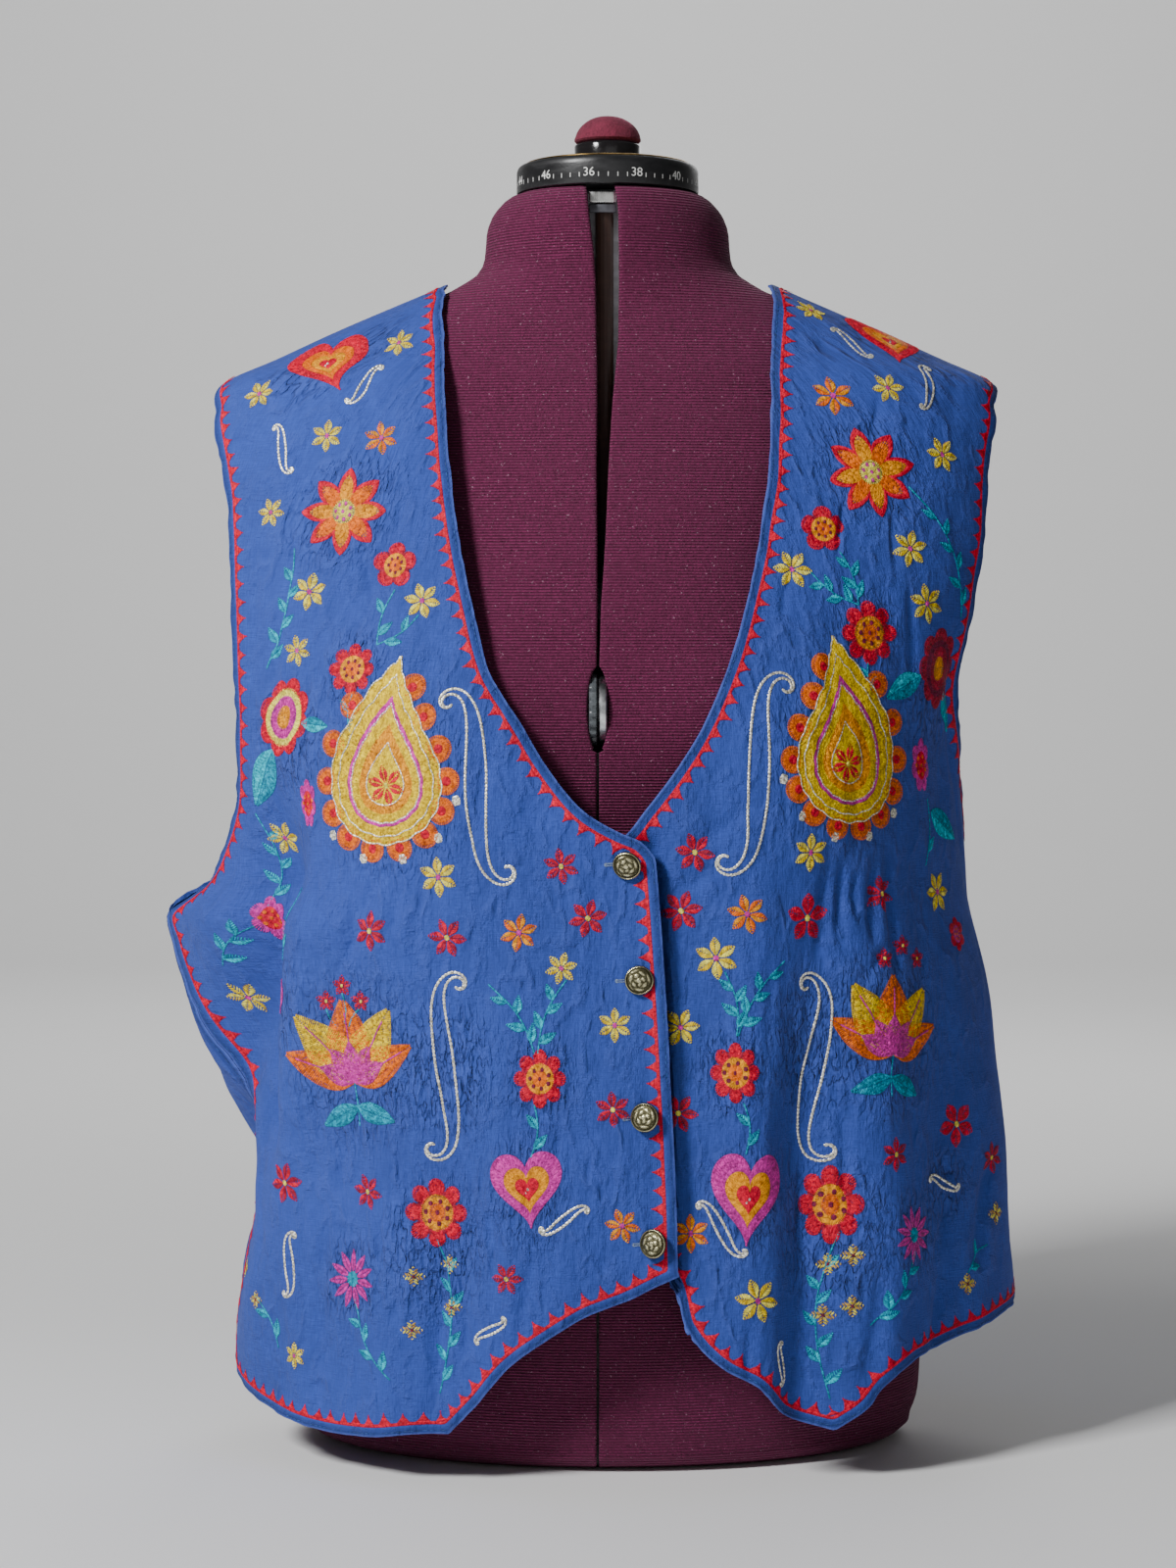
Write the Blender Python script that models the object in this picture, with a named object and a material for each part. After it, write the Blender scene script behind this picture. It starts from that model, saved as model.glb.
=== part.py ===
"""An embroidered folk vest as it hangs on a limbless dress form, with the form.

Every length is in metres, with +Z up, the front towards -Y and the wearer's left towards +X.
The origin lies on the floor, under the middle of the form.
The cloth of the vest is one wrap round the body: for each azimuth (0 at the front, 90 at the wearer's left)
and each height, VEST_RINGS, BUST and FOLDS say how far out the cloth hangs. Each panel is the stretch of
that wrap inside its own seams and edges.
"""

import math

import bmesh
import bpy
import numpy as np
from mathutils import Matrix, Vector

# Driving sizes of the vest.
CLOTH_THICKNESS = 0.0012
SEAM_GAP = 0.0004
OVERLAP_LIFT = 0.0010
UNDERLAP_DROP = 0.0016
UNDERLAP_DIP = 0.0028
SHOULDER_POINT = 0.643
SHOULDER_TIP = 0.590
BUTTON_RADIUS = 0.0076
BUTTON_HEIGHT = 0.0042

# Driving sizes of the dress form.
NECK_TOP = 0.6925
DIAL_RADIUS = 0.0510
DIAL_SIDE = 0.0115
DIAL_ROUND = 0.0042
PLATE_RADIUS = 0.0468
PLATE_THICKNESS = 0.0010
KNOB_RADIUS = 0.0187
KNOB_COLLAR = 0.0112
KNOB_CUSHION = 0.0155
POST_RADIUS = 0.0050
POST_PLACE = (-0.0020, -0.0362)
BRACKET_SIZE = (0.0150, 0.0030, 0.0119)
BRACKET_PLACE = (-0.0030, -0.0437, 0.6832)
WHEEL_RADIUS = 0.0190
WHEEL_WIDTH = 0.0042
WHEEL_PLACE = (-0.0058, -0.1150, 0.4057)
WHEEL_TEETH = 20
PIECE_GAP = 0.0004

# How far out the vest hangs: height, half width at the wearer's right, half width at the wearer's left,
# depth at the front, depth at the back.
VEST_RINGS = (
    (0.010, 0.207, 0.228, 0.151, 0.132),
    (0.060, 0.206, 0.227, 0.150, 0.130),
    (0.100, 0.202, 0.2255, 0.149, 0.127),
    (0.130, 0.199, 0.224, 0.148, 0.124),
    (0.155, 0.202, 0.222, 0.147, 0.122),
    (0.175, 0.209, 0.220, 0.147, 0.120),
    (0.196, 0.217, 0.218, 0.147, 0.119),
    (0.216, 0.2205, 0.2155, 0.147, 0.118),
    (0.237, 0.2255, 0.214, 0.147, 0.117),
    (0.258, 0.2305, 0.2115, 0.1465, 0.116),
    (0.276, 0.2355, 0.208, 0.146, 0.116),
    (0.292, 0.2390, 0.2045, 0.146, 0.116),
    (0.310, 0.2245, 0.2015, 0.146, 0.116),
    (0.330, 0.2205, 0.2005, 0.146, 0.117),
    (0.350, 0.2205, 0.1995, 0.146, 0.117),
    (0.380, 0.2245, 0.1990, 0.1435, 0.118),
    (0.420, 0.2312, 0.2055, 0.138, 0.119),
    (0.460, 0.2345, 0.2190, 0.129, 0.118),
    (0.500, 0.2362, 0.2265, 0.117, 0.114),
    (0.540, 0.2345, 0.2285, 0.102, 0.107),
    (0.570, 0.2262, 0.2245, 0.089, 0.097),
    (0.590, 0.2105, 0.2120, 0.077, 0.086),
    (0.600, 0.1872, 0.1895, 0.070, 0.079),
    (0.615, 0.155, 0.156, 0.0635, 0.071),
    (0.630, 0.1202, 0.121, 0.058, 0.063),
    (0.643, 0.090, 0.0908, 0.052, 0.056),
)

# The cloth over the bust: azimuth, height, how far out, half angle, reach upwards, reach downwards.
BUST = (
    (-36.0, 0.400, 0.011, 20.0, 0.055, 0.170),
    (36.0, 0.400, 0.010, 20.0, 0.055, 0.170),
)

# The largest folds: azimuth at the top, azimuth at the foot, top, foot, how far out, half width.
# A fold whose foot is below the hem runs off it.
FOLDS = (
    (-63.0, -73.0, 0.385, 0.140, -0.0240, 0.0210),
    (-66.0, -96.0, 0.310, 0.095, -0.0210, 0.0200),
    (-91.0, -81.5, 0.345, 0.150, 0.0080, 0.0125),
    (-52.0, -79.0, 0.345, 0.010, 0.0070, 0.0240),
    (-30.0, -33.5, 0.220, -0.120, -0.0045, 0.0180),
    (-43.0, -45.0, 0.240, -0.120, 0.0035, 0.0160),
    (-14.0, -20.0, 0.280, -0.120, 0.0030, 0.0180),
    (40.0, 37.5, 0.360, -0.160, -0.0095, 0.0165),
    (29.0, 27.0, 0.330, -0.120, 0.0035, 0.0180),
    (53.0, 51.0, 0.340, -0.120, 0.0045, 0.0190),
    (66.0, 64.0, 0.280, -0.120, -0.0060, 0.0180),
    (79.0, 80.0, 0.300, -0.120, 0.0030, 0.0190),
    (112.0, 118.0, 0.330, -0.120, -0.0060, 0.0200),
    (137.0, 133.0, 0.400, -0.120, 0.0060, 0.0210),
    (158.0, 152.0, 0.300, -0.120, -0.0055, 0.0190),
    (181.0, 176.0, 0.360, -0.120, 0.0050, 0.0220),
    (204.0, 208.0, 0.320, -0.120, -0.0060, 0.0190),
    (229.0, 226.0, 0.420, -0.120, 0.0060, 0.0210),
    (250.0, 246.0, 0.260, -0.120, -0.0050, 0.0180),
)
FOLD_ONSET = 0.35
FOLD_DYING = 0.75

# Edges of the wearer's right front, which lies over the other.
RIGHT_CLOSING = (  # distance from the middle, height
    (0.0350, 0.1125),
    (0.0335, 0.1600),
    (0.0305, 0.2200),
    (0.0270, 0.2800),
    (0.0235, 0.3287),
)
RIGHT_NECKLINE = (  # distance from the middle, height
    (0.0235, 0.3287),
    (0.0169, 0.3369),
    (0.0067, 0.3414),
    (-0.0110, 0.3515),
    (-0.0313, 0.3743),
    (-0.0467, 0.3996),
    (-0.0621, 0.4251),
    (-0.0716, 0.4611),
    (-0.0782, 0.4923),
    (-0.0854, 0.5405),
    (-0.0885, 0.5850),
    (-0.0900, 0.6150),
    (-0.0905, 0.6300),
    (-0.0904, 0.6385),
    (-0.0901, 0.6420),
)
RIGHT_HEM_TO_POINT = (  # azimuth, height
    (13.6, 0.1125),
    (3.7, 0.1000),
    (-4.3, 0.0920),
    (-12.1, 0.0795),
    (-19.8, 0.0640),
    (-25.5, 0.0460),
    (-32.2, 0.0275),
)
RIGHT_HEM_TO_SIDE = (
    (-32.2, 0.0275),
    (-36.6, 0.0272),
    (-46.3, 0.0235),
    (-56.5, 0.0225),
    (-65.9, 0.0259),
    (-74.6, 0.0324),
    (-81.9, 0.0408),
    (-86.0, 0.0490),
)
RIGHT_SIDE_SEAM = (
    (-86.0, 0.0490),
    (-85.0, 0.1000),
    (-83.6, 0.1500),
    (-82.6, 0.1800),
    (-82.6, 0.2000),
    (-83.4, 0.2200),
    (-84.6, 0.2450),
    (-86.0, 0.2700),
    (-87.3, 0.2920),
)
RIGHT_ARMHOLE_FRONT = (
    (-87.3, 0.2920),
    (-82.8, 0.3100),
    (-77.8, 0.3350),
    (-73.8, 0.3600),
    (-71.7, 0.4000),
    (-72.7, 0.4600),
    (-76.2, 0.5200),
    (-83.2, 0.5700),
)
RIGHT_ARMHOLE_BACK = (
    (-87.3, 0.2920),
    (-91.6, 0.2965),
    (-100.0, 0.3120),
    (-108.0, 0.3350),
    (-112.0, 0.3700),
    (-113.0, 0.4200),
    (-111.0, 0.4700),
    (-107.0, 0.5200),
    (-101.0, 0.5650),
)

# Edges of the wearer's left front, which lies under the other.
LEFT_CLOSING = (  # distance from the middle, height
    (0.0405, 0.0830),
    (0.0385, 0.0905),
    (0.0355, 0.1040),
    (0.0280, 0.1180),
    (0.0170, 0.1400),
    (0.0100, 0.1700),
    (0.0060, 0.2200),
    (0.0020, 0.2800),
    (-0.0025, 0.3330),
)
LEFT_NECKLINE = (
    (-0.0025, 0.3330),
    (0.0078, 0.3399),
    (0.0194, 0.3540),
    (0.0347, 0.3743),
    (0.0501, 0.3996),
    (0.0631, 0.4302),
    (0.0722, 0.4611),
    (0.0794, 0.4923),
    (0.0846, 0.5350),
    (0.0880, 0.5850),
    (0.0900, 0.6150),
    (0.0905, 0.6300),
    (0.0906, 0.6385),
    (0.0906, 0.6420),
)
LEFT_HEM_TO_POINT = (  # azimuth, height
    (15.8, 0.0830),
    (17.4, 0.0765),
    (21.9, 0.0642),
    (28.3, 0.0539),
    (33.7, 0.0393),
    (43.5, 0.0275),
)
LEFT_HEM_TO_SIDE = (
    (43.5, 0.0275),
    (47.8, 0.0387),
    (51.5, 0.0521),
    (56.6, 0.0605),
    (62.9, 0.0644),
    (72.5, 0.0719),
    (84.9, 0.0790),
    (97.0, 0.0830),
)
LEFT_SIDE_SEAM = (
    (97.0, 0.0830),
    (97.5, 0.1700),
    (99.0, 0.2500),
    (101.0, 0.3150),
)
LEFT_ARMHOLE_FRONT = (
    (101.0, 0.3150),
    (94.4, 0.3300),
    (87.0, 0.3550),
    (81.0, 0.3850),
    (75.8, 0.4200),
    (74.9, 0.4530),
    (76.6, 0.4970),
    (79.4, 0.5410),
    (83.4, 0.5740),
)
LEFT_ARMHOLE_BACK = (
    (101.0, 0.3150),
    (106.0, 0.3280),
    (111.0, 0.3550),
    (114.0, 0.4000),
    (113.0, 0.4500),
    (109.0, 0.5050),
    (103.0, 0.5500),
)
BACK_HEM = (  # azimuth, height, from the wearer's right side to the left
    (-86.0, 0.0490),
    (-110.0, 0.0560),
    (-145.0, 0.0600),
    (-180.0, 0.0620),
    (-220.0, 0.0680),
    (-245.0, 0.0770),
    (-263.0, 0.0830),
)
BACK_NECKLINE = (  # azimuth, height
    (-90.0, 0.6430),
    (-108.0, 0.6380),
    (-128.0, 0.6290),
    (-152.0, 0.6220),
    (-180.0, 0.6200),
    (-208.0, 0.6220),
    (-232.0, 0.6290),
    (-252.0, 0.6380),
    (-270.0, 0.6430),
)

# Buttons from the top: distance from the middle, height.
BUTTONS = (
    (0.0098, 0.3262),
    (0.0155, 0.2660),
    (0.0192, 0.1948),
    (0.0243, 0.1295),
)

# The dress form: height, half width, depth at the front, depth at the back.
FORM_RINGS = (
    (0.000, 0.152, 0.090, 0.096),
    (0.004, 0.163, 0.101, 0.107),
    (0.015, 0.170, 0.107, 0.113),
    (0.045, 0.175, 0.111, 0.118),
    (0.085, 0.176, 0.113, 0.119),
    (0.140, 0.166, 0.110, 0.112),
    (0.200, 0.150, 0.104, 0.098),
    (0.250, 0.142, 0.101, 0.090),
    (0.300, 0.148, 0.108, 0.092),
    (0.345, 0.157, 0.119, 0.098),
    (0.3830, 0.1645, 0.127, 0.1015),
    (0.3855, 0.165, 0.1275, 0.102),
    (0.4260, 0.1685, 0.126, 0.105),
    (0.4285, 0.169, 0.1255, 0.1055),
    (0.460, 0.171, 0.119, 0.106),
    (0.480, 0.174, 0.113, 0.105),
    (0.500, 0.177, 0.106, 0.104),
    (0.535, 0.185, 0.092, 0.097),
    (0.560, 0.1905, 0.0815, 0.090),
    (0.578, 0.190, 0.074, 0.083),
    (0.590, 0.186, 0.0695, 0.0775),
    (0.600, 0.176, 0.0650, 0.071),
    (0.610, 0.157, 0.0610, 0.0655),
    (0.620, 0.1335, 0.0575, 0.0595),
    (0.630, 0.1090, 0.0545, 0.0540),
    (0.6385, 0.0885, 0.0535, 0.0525),
    (0.6425, 0.0815, 0.0535, 0.0530),
    (0.6470, 0.0745, 0.0535, 0.0540),
    (0.6530, 0.0702, 0.0538, 0.0550),
    (0.6620, 0.0685, 0.0540, 0.0555),
    (0.6740, 0.0672, 0.0545, 0.0555),
    (0.6815, 0.0640, 0.0540, 0.0550),
    (0.6870, 0.0595, 0.0525, 0.0535),
    (0.6910, 0.0545, 0.0495, 0.0505),
    (NECK_TOP, 0.0505, 0.0460, 0.0470),
)
FORM_BUST = (
    (-36.0, 0.400, 0.0165, 19.0, 0.050, 0.052),
    (36.0, 0.400, 0.0165, 19.0, 0.050, 0.052),
)
FORM_COLUMNS = 32

# The split down the form's front: height, middle, half width of its mouth, half width inside, depth.
SPLIT = (
    (0.0000, -0.0058, 0.0006, 0.0006, 0.0030),
    (0.3830, -0.0058, 0.0006, 0.0006, 0.0030),
    (0.3855, -0.0058, 0.0054, 0.0058, 0.0345),
    (0.4260, -0.0058, 0.0054, 0.0058, 0.0345),
    (0.4285, -0.0057, 0.0006, 0.0006, 0.0030),
    (0.4600, -0.0051, 0.0009, 0.0080, 0.0890),
    (0.4800, -0.0044, 0.0016, 0.0090, 0.0820),
    (0.5000, -0.0038, 0.0022, 0.0095, 0.0760),
    (0.5350, -0.0032, 0.0031, 0.0095, 0.0620),
    (0.5680, -0.0020, 0.0039, 0.0095, 0.0480),
    (0.5900, -0.0010, 0.0049, 0.0100, 0.0400),
    (0.6050, -0.0004, 0.0058, 0.0100, 0.0330),
    (0.6385, -0.0004, 0.0063, 0.0100, 0.0235),
    (0.6560, -0.0010, 0.0068, 0.0100, 0.0238),
    (0.6785, -0.0026, 0.0080, 0.0100, 0.0242),
    (0.6880, -0.0036, 0.0078, 0.0095, 0.0220),
    (NECK_TOP, -0.0045, 0.0077, 0.0090, 0.0160),
)
SPLIT_MARGIN = 0.0138

COLOURS = {  # red, green, blue, then metallic and roughness
    "cloth": ((0.045, 0.115, 0.370), 0.0, 0.85),
    "knit": ((0.130, 0.020, 0.055), 0.0, 0.90),
    "black_plastic": ((0.012, 0.012, 0.014), 0.0, 0.35),
    "gold_trim": ((0.620, 0.460, 0.180), 1.0, 0.30),
    "old_brass": ((0.260, 0.210, 0.090), 1.0, 0.40),
    "pale_metal": ((0.700, 0.710, 0.720), 1.0, 0.35),
    "velvet": ((0.150, 0.022, 0.050), 0.0, 0.95),
}


# Curves and rings.


def column(table, index):
    return np.array([row[index] for row in table])


def eased(low, high, value):
    """0 up to low, 1 from high, and a smooth step between."""
    t = np.clip((value - low) / (high - low), 0.0, 1.0)
    return t * t * (3.0 - 2.0 * t)


def through(knots, values, at):
    """A smooth curve through the values at the knots, read at the places given."""
    slopes = np.gradient(values, knots)
    at = np.clip(at, knots[0], knots[-1])
    i = np.clip(np.searchsorted(knots, at) - 1, 0, len(knots) - 2)
    span = knots[i + 1] - knots[i]
    t = (at - knots[i]) / span
    rise = values[i + 1] - values[i]
    bend = t * (1.0 - t) * ((1.0 - t) * (slopes[i] * span - rise) - t * (slopes[i + 1] * span - rise))
    return values[i] + t * rise + bend


def bulges(table, azimuth, height):
    total = 0.0
    for middle, level, out, angle, above, below in table:
        turn = (azimuth - middle) / angle
        lift = np.where(height > level, (height - level) / above, (level - height) / below)
        total = total + out * np.exp(-(turn**2) - lift**2)
    return total


def oval(azimuth, half_width, depth):
    """The radius at this azimuth of an oval with that half width and that depth."""
    a = np.radians(azimuth)
    return 1.0 / np.hypot(np.sin(a) / half_width, np.cos(a) / depth)


def smooth_radius(azimuth, height):
    """How far out the cloth's outer face would be without its folds."""
    knots = column(VEST_RINGS, 0)
    right, left, front, rear = (through(knots, column(VEST_RINGS, i), height) for i in range(1, 5))
    half_width = np.where(np.sin(np.radians(azimuth)) < 0.0, right, left)
    depth = np.where(np.cos(np.radians(azimuth)) > 0.0, front, rear)
    return oval(azimuth, half_width, depth) + bulges(BUST, azimuth, height)


def vest_radius(azimuth, height):
    """How far out the cloth's outer face is, before the closing's overlap."""
    smooth = smooth_radius(azimuth, height)
    radius = smooth
    for top_turn, foot_turn, top, foot, out, width in FOLDS:
        t = np.clip((top - height) / (top - foot), 0.0, 1.0)
        middle = top_turn + (foot_turn - top_turn) * t
        away = (azimuth - middle + 180.0) % 360.0 - 180.0
        across = np.radians(away) * smooth / width
        strength = eased(0.0, FOLD_ONSET, t) * (1.0 - eased(FOLD_DYING, 1.0, t))
        radius = radius + out * strength * np.exp(-(across**2))
    return radius


def at_radius(azimuth, height, radius):
    a = np.radians(azimuth)
    return np.stack([radius * np.sin(a), -radius * np.cos(a), height + 0.0 * azimuth], axis=-1)


def on_vest(azimuth, height, lift=0.0):
    """Points of the cloth's outer face, moved out by lift along the radius."""
    return at_radius(azimuth, height, vest_radius(azimuth, height) + lift)


def unfolded(azimuth, height):
    """The same points, were the cloth without its folds."""
    return at_radius(azimuth, height, smooth_radius(azimuth, height))


def azimuth_at(distance, height):
    """The azimuth on the front where the cloth is that far to the side of the middle."""
    low = np.full_like(distance, -89.0)
    high = np.full_like(distance, 89.0)
    for _ in range(40):
        middle = (low + high) / 2.0
        beyond = on_vest(middle, height)[..., 0] > distance
        high = np.where(beyond, middle, high)
        low = np.where(beyond, low, middle)
    return (low + high) / 2.0


# Edges, as azimuths and heights.


def dense(points, count=240):
    """A smooth curve through the points of a table, as many points close together."""
    points = np.array(points)
    knots = np.concatenate([[0.0], np.cumsum(np.hypot(*(np.diff(points, axis=0) / (90.0, 0.25)).T))])
    at = np.linspace(0.0, knots[-1], count)
    return np.stack([through(knots, points[:, i], at) for i in (0, 1)], axis=-1)


def dense_from_middle(table, count=240):
    """The same, for a table that gives distances from the middle instead of azimuths."""
    points = np.array(table)
    knots = np.concatenate([[0.0], np.cumsum(np.hypot(*np.diff(points, axis=0).T))])
    at = np.linspace(0.0, knots[-1], count)
    distance, height = (through(knots, points[:, i], at) for i in (0, 1))
    return np.stack([azimuth_at(distance, height), height], axis=-1)


def shoulder_seam(azimuth, count=60):
    """From the neck to the tip of the shoulder, along its ridge."""
    heights = np.linspace(SHOULDER_POINT, SHOULDER_TIP, count)
    return np.stack([np.full(count, azimuth), heights], axis=-1)


def spaced(curve, steps):
    """Steps + 1 points along the curve, evenly spaced on the cloth."""
    points = on_vest(curve[:, 0], curve[:, 1])
    run = np.concatenate([[0.0], np.cumsum(np.linalg.norm(np.diff(points, axis=0), axis=1))])
    at = np.linspace(0.0, run[-1], steps + 1)
    return np.stack([np.interp(at, run, curve[:, i]) for i in (0, 1)], axis=-1)


def edge(*stretches):
    """One edge out of stretches, each a curve with its number of steps; a stretch starts where the last ends."""
    found = [spaced(curve, steps) for curve, steps in stretches]
    return np.concatenate([found[0]] + [stretch[1:] for stretch in found[1:]])


def joined_to(curve, end):
    return np.concatenate([curve, [end]])


def moved_round(curve, distance):
    """The edge moved round the body by a small distance along the cloth."""
    radius = vest_radius(curve[:, 0], curve[:, 1])
    return np.stack([curve[:, 0] + np.degrees(distance / radius), curve[:, 1]], axis=-1)


def nearest_on_vest(points, turns=6):
    """Azimuths and heights of the places on the unfolded wrap nearest to the points."""
    azimuth = np.degrees(np.unwrap(np.arctan2(points[..., 0], -points[..., 1]), axis=0))
    height = np.clip(points[..., 2], 0.012, SHOULDER_POINT - 0.0002)
    step_turn, step_up = 0.1, 0.0002
    for _ in range(turns):
        here = unfolded(azimuth, height)
        along = (unfolded(azimuth + step_turn, height) - here) / step_turn
        up = (here - unfolded(azimuth, height - step_up)) / step_up
        off = points - here
        aa, uu, au = (along * along).sum(-1), (up * up).sum(-1), (along * up).sum(-1)
        oa, ou = (off * along).sum(-1), (off * up).sum(-1)
        whole = aa * uu - au * au + 1e-12
        azimuth = azimuth + 0.8 * (oa * uu - ou * au) / whole
        height = np.clip(height + 0.8 * (ou * aa - oa * au) / whole, 0.012, SHOULDER_POINT - 0.0002)
    return np.stack([azimuth, height], axis=-1)


def patch(foot, top, first, last):
    """A grid of azimuths and heights inside four edges: [column, row] from the foot and from the first side."""
    below, above, near, far = (unfolded(curve[:, 0], curve[:, 1]) for curve in (foot, top, first, last))
    below, above, near, far = below[:, None], above[:, None], near[None], far[None]
    u = np.linspace(0.0, 1.0, len(foot))[:, None, None]
    v = np.linspace(0.0, 1.0, len(first))[None, :, None]
    corners = (1.0 - v) * ((1.0 - u) * below[0] + u * below[-1]) + v * ((1.0 - u) * above[0] + u * above[-1])
    points = (1.0 - u) * near + u * far + (1.0 - v) * below + v * above - corners
    grid = nearest_on_vest(points)
    grid[..., 0] += 360.0 * np.round((first[0, 0] - grid[0, 0, 0]) / 360.0)
    grid[:, 0], grid[:, -1], grid[0], grid[-1] = foot, top, first, last
    return grid


# Solids.


def finish(name, bm, colour, place=None):
    """A named object from a bmesh, its faces outwards, smooth but for its sharp edges."""
    bmesh.ops.recalc_face_normals(bm, faces=bm.faces[:])
    if bm.calc_volume(signed=True) < 0.0:
        bmesh.ops.reverse_faces(bm, faces=bm.faces[:])
    mesh = bpy.data.meshes.new(name)
    bm.to_mesh(mesh)
    bm.free()
    piece = bpy.data.objects.new(name, mesh)
    if place is not None:
        piece.matrix_world = place
    collection.objects.link(piece)
    mesh.shade_smooth()
    mesh.set_sharp_from_angle(angle=math.radians(40.0))
    mesh.materials.append(material(colour))
    return piece


def material(name):
    found = bpy.data.materials.get(name)
    if found:
        return found
    (red, green, blue), metallic, roughness = COLOURS[name]
    made = bpy.data.materials.new(name)
    made.use_nodes = True
    shader = made.node_tree.nodes["Principled BSDF"]
    shader.inputs["Base Color"].default_value = (red, green, blue, 1.0)
    shader.inputs["Metallic"].default_value = metallic
    shader.inputs["Roughness"].default_value = roughness
    return made


def cloth_normals(grid, lift):
    """The cloth's outward direction at each point of the grid, from points close beside it."""
    step_turn, step_up = 0.2, 0.0008
    azimuth, height = grid[..., 0], grid[..., 1]
    height = np.minimum(height, SHOULDER_POINT - step_up)
    along = on_vest(azimuth + step_turn, height, lift) - on_vest(azimuth - step_turn, height, lift)
    up = on_vest(azimuth, height + step_up, lift) - on_vest(azimuth, height - step_up, lift)
    normal = np.cross(along, up)
    return normal / np.linalg.norm(normal, axis=-1, keepdims=True)


def cloth_wall(name, grid, lift):
    """A panel: a grid of cloth, thick by CLOTH_THICKNESS, with its outer face on the wrap."""
    columns, rows = grid.shape[0] - 1, grid.shape[1] - 1
    outer = on_vest(grid[..., 0], grid[..., 1], lift)
    inner = outer - CLOTH_THICKNESS * cloth_normals(grid, lift)
    bm = bmesh.new()
    bmesh.ops.create_grid(bm, x_segments=columns, y_segments=rows, size=0.5)
    made = bmesh.ops.extrude_face_region(bm, geom=bm.faces[:])
    raised = {v for v in made["geom"] if isinstance(v, bmesh.types.BMVert)}
    for v in bm.verts:
        i, j = round((v.co.x + 0.5) * columns), round((v.co.y + 0.5) * rows)
        v.co = outer[i, j] if v in raised else inner[i, j]
    return finish(name, bm, "cloth")


def closing_lift(grid, sign):
    """How far the cloth stands out by the closing: the right front out, the left front in."""
    points = on_vest(grid[..., 0], grid[..., 1])
    middle = through(column(RIGHT_CLOSING, 1), column(RIGHT_CLOSING, 0), grid[..., 1]) - 0.013
    away = np.abs(points[..., 0] - middle)
    near = (1.0 - eased(0.020, 0.062, away)) * (1.0 - eased(0.345, 0.400, grid[..., 1]))
    if sign > 0:
        return OVERLAP_LIFT * near
    beyond = points[..., 0] - middle
    dip = eased(0.006, 0.016, beyond) * (1.0 - eased(0.022, 0.050, beyond))
    dip = dip * eased(0.105, 0.150, grid[..., 1]) * (1.0 - eased(0.300, 0.345, grid[..., 1]))
    return -UNDERLAP_DROP * near - UNDERLAP_DIP * dip


def right_front():
    closing = dense_from_middle(RIGHT_CLOSING)
    neckline = joined_to(dense_from_middle(RIGHT_NECKLINE), (-90.0, SHOULDER_POINT))
    armhole = joined_to(dense(RIGHT_ARMHOLE_FRONT), (-90.0, SHOULDER_TIP))
    first = edge((closing, 12), (neckline, 16))
    last = edge((dense(RIGHT_SIDE_SEAM), 12), (armhole, 16))
    foot = edge((dense(RIGHT_HEM_TO_POINT), 10), (dense(RIGHT_HEM_TO_SIDE), 19))
    top = spaced(shoulder_seam(-90.0), 29)
    first[0], last[0] = foot[0], foot[-1]
    last[:13] = moved_round(last[:13], SEAM_GAP / 2)
    top = moved_round(top, SEAM_GAP / 2)
    first[-1], last[-1], foot[-1] = top[0], top[-1], last[0]
    grid = patch(foot, top, first, last)
    return cloth_wall("front_right", grid, closing_lift(grid, 1))


def left_front():
    closing = dense_from_middle(LEFT_CLOSING)
    neckline = joined_to(dense_from_middle(LEFT_NECKLINE), (90.0, SHOULDER_POINT))
    armhole = joined_to(dense(LEFT_ARMHOLE_FRONT), (90.0, SHOULDER_TIP))
    first = edge((closing, 12), (neckline, 16))
    last = edge((dense(LEFT_SIDE_SEAM), 12), (armhole, 16))
    foot = edge((dense(LEFT_HEM_TO_POINT), 10), (dense(LEFT_HEM_TO_SIDE), 16))
    top = spaced(shoulder_seam(90.0), 26)
    first[0], last[0] = foot[0], foot[-1]
    last[:13] = moved_round(last[:13], -SEAM_GAP / 2)
    top = moved_round(top, -SEAM_GAP / 2)
    first[-1], last[-1], foot[-1] = top[0], top[-1], last[0]
    grid = patch(foot, top, first, last)
    return cloth_wall("front_left", grid, closing_lift(grid, -1))


def back():
    turned = [(azimuth - 360.0, height) for azimuth, height in LEFT_SIDE_SEAM]
    far_armhole = [(azimuth - 360.0, height) for azimuth, height in LEFT_ARMHOLE_BACK]
    first = edge((dense(RIGHT_SIDE_SEAM), 12), (joined_to(dense(RIGHT_ARMHOLE_BACK), (-90.0, SHOULDER_TIP)), 11))
    last = edge((dense(turned), 12), (joined_to(dense(far_armhole), (-270.0, SHOULDER_TIP)), 11))
    seam = shoulder_seam(-90.0)[::-1]
    far_seam = shoulder_seam(-270.0)
    top = edge((seam, 7), (dense(BACK_NECKLINE), 12), (far_seam, 7))
    foot = spaced(dense(BACK_HEM), 26)
    first[:13] = moved_round(first[:13], -SEAM_GAP / 2)
    last[:13] = moved_round(last[:13], SEAM_GAP / 2)
    top[:8] = moved_round(top[:8], -SEAM_GAP / 2)
    top[-8:] = moved_round(top[-8:], SEAM_GAP / 2)
    foot[0], foot[-1] = first[0], last[0]
    first[-1], last[-1] = top[0], top[-1]
    grid = patch(foot, top, first, last)[::-1]
    return cloth_wall("back", grid, 0.0)


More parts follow.
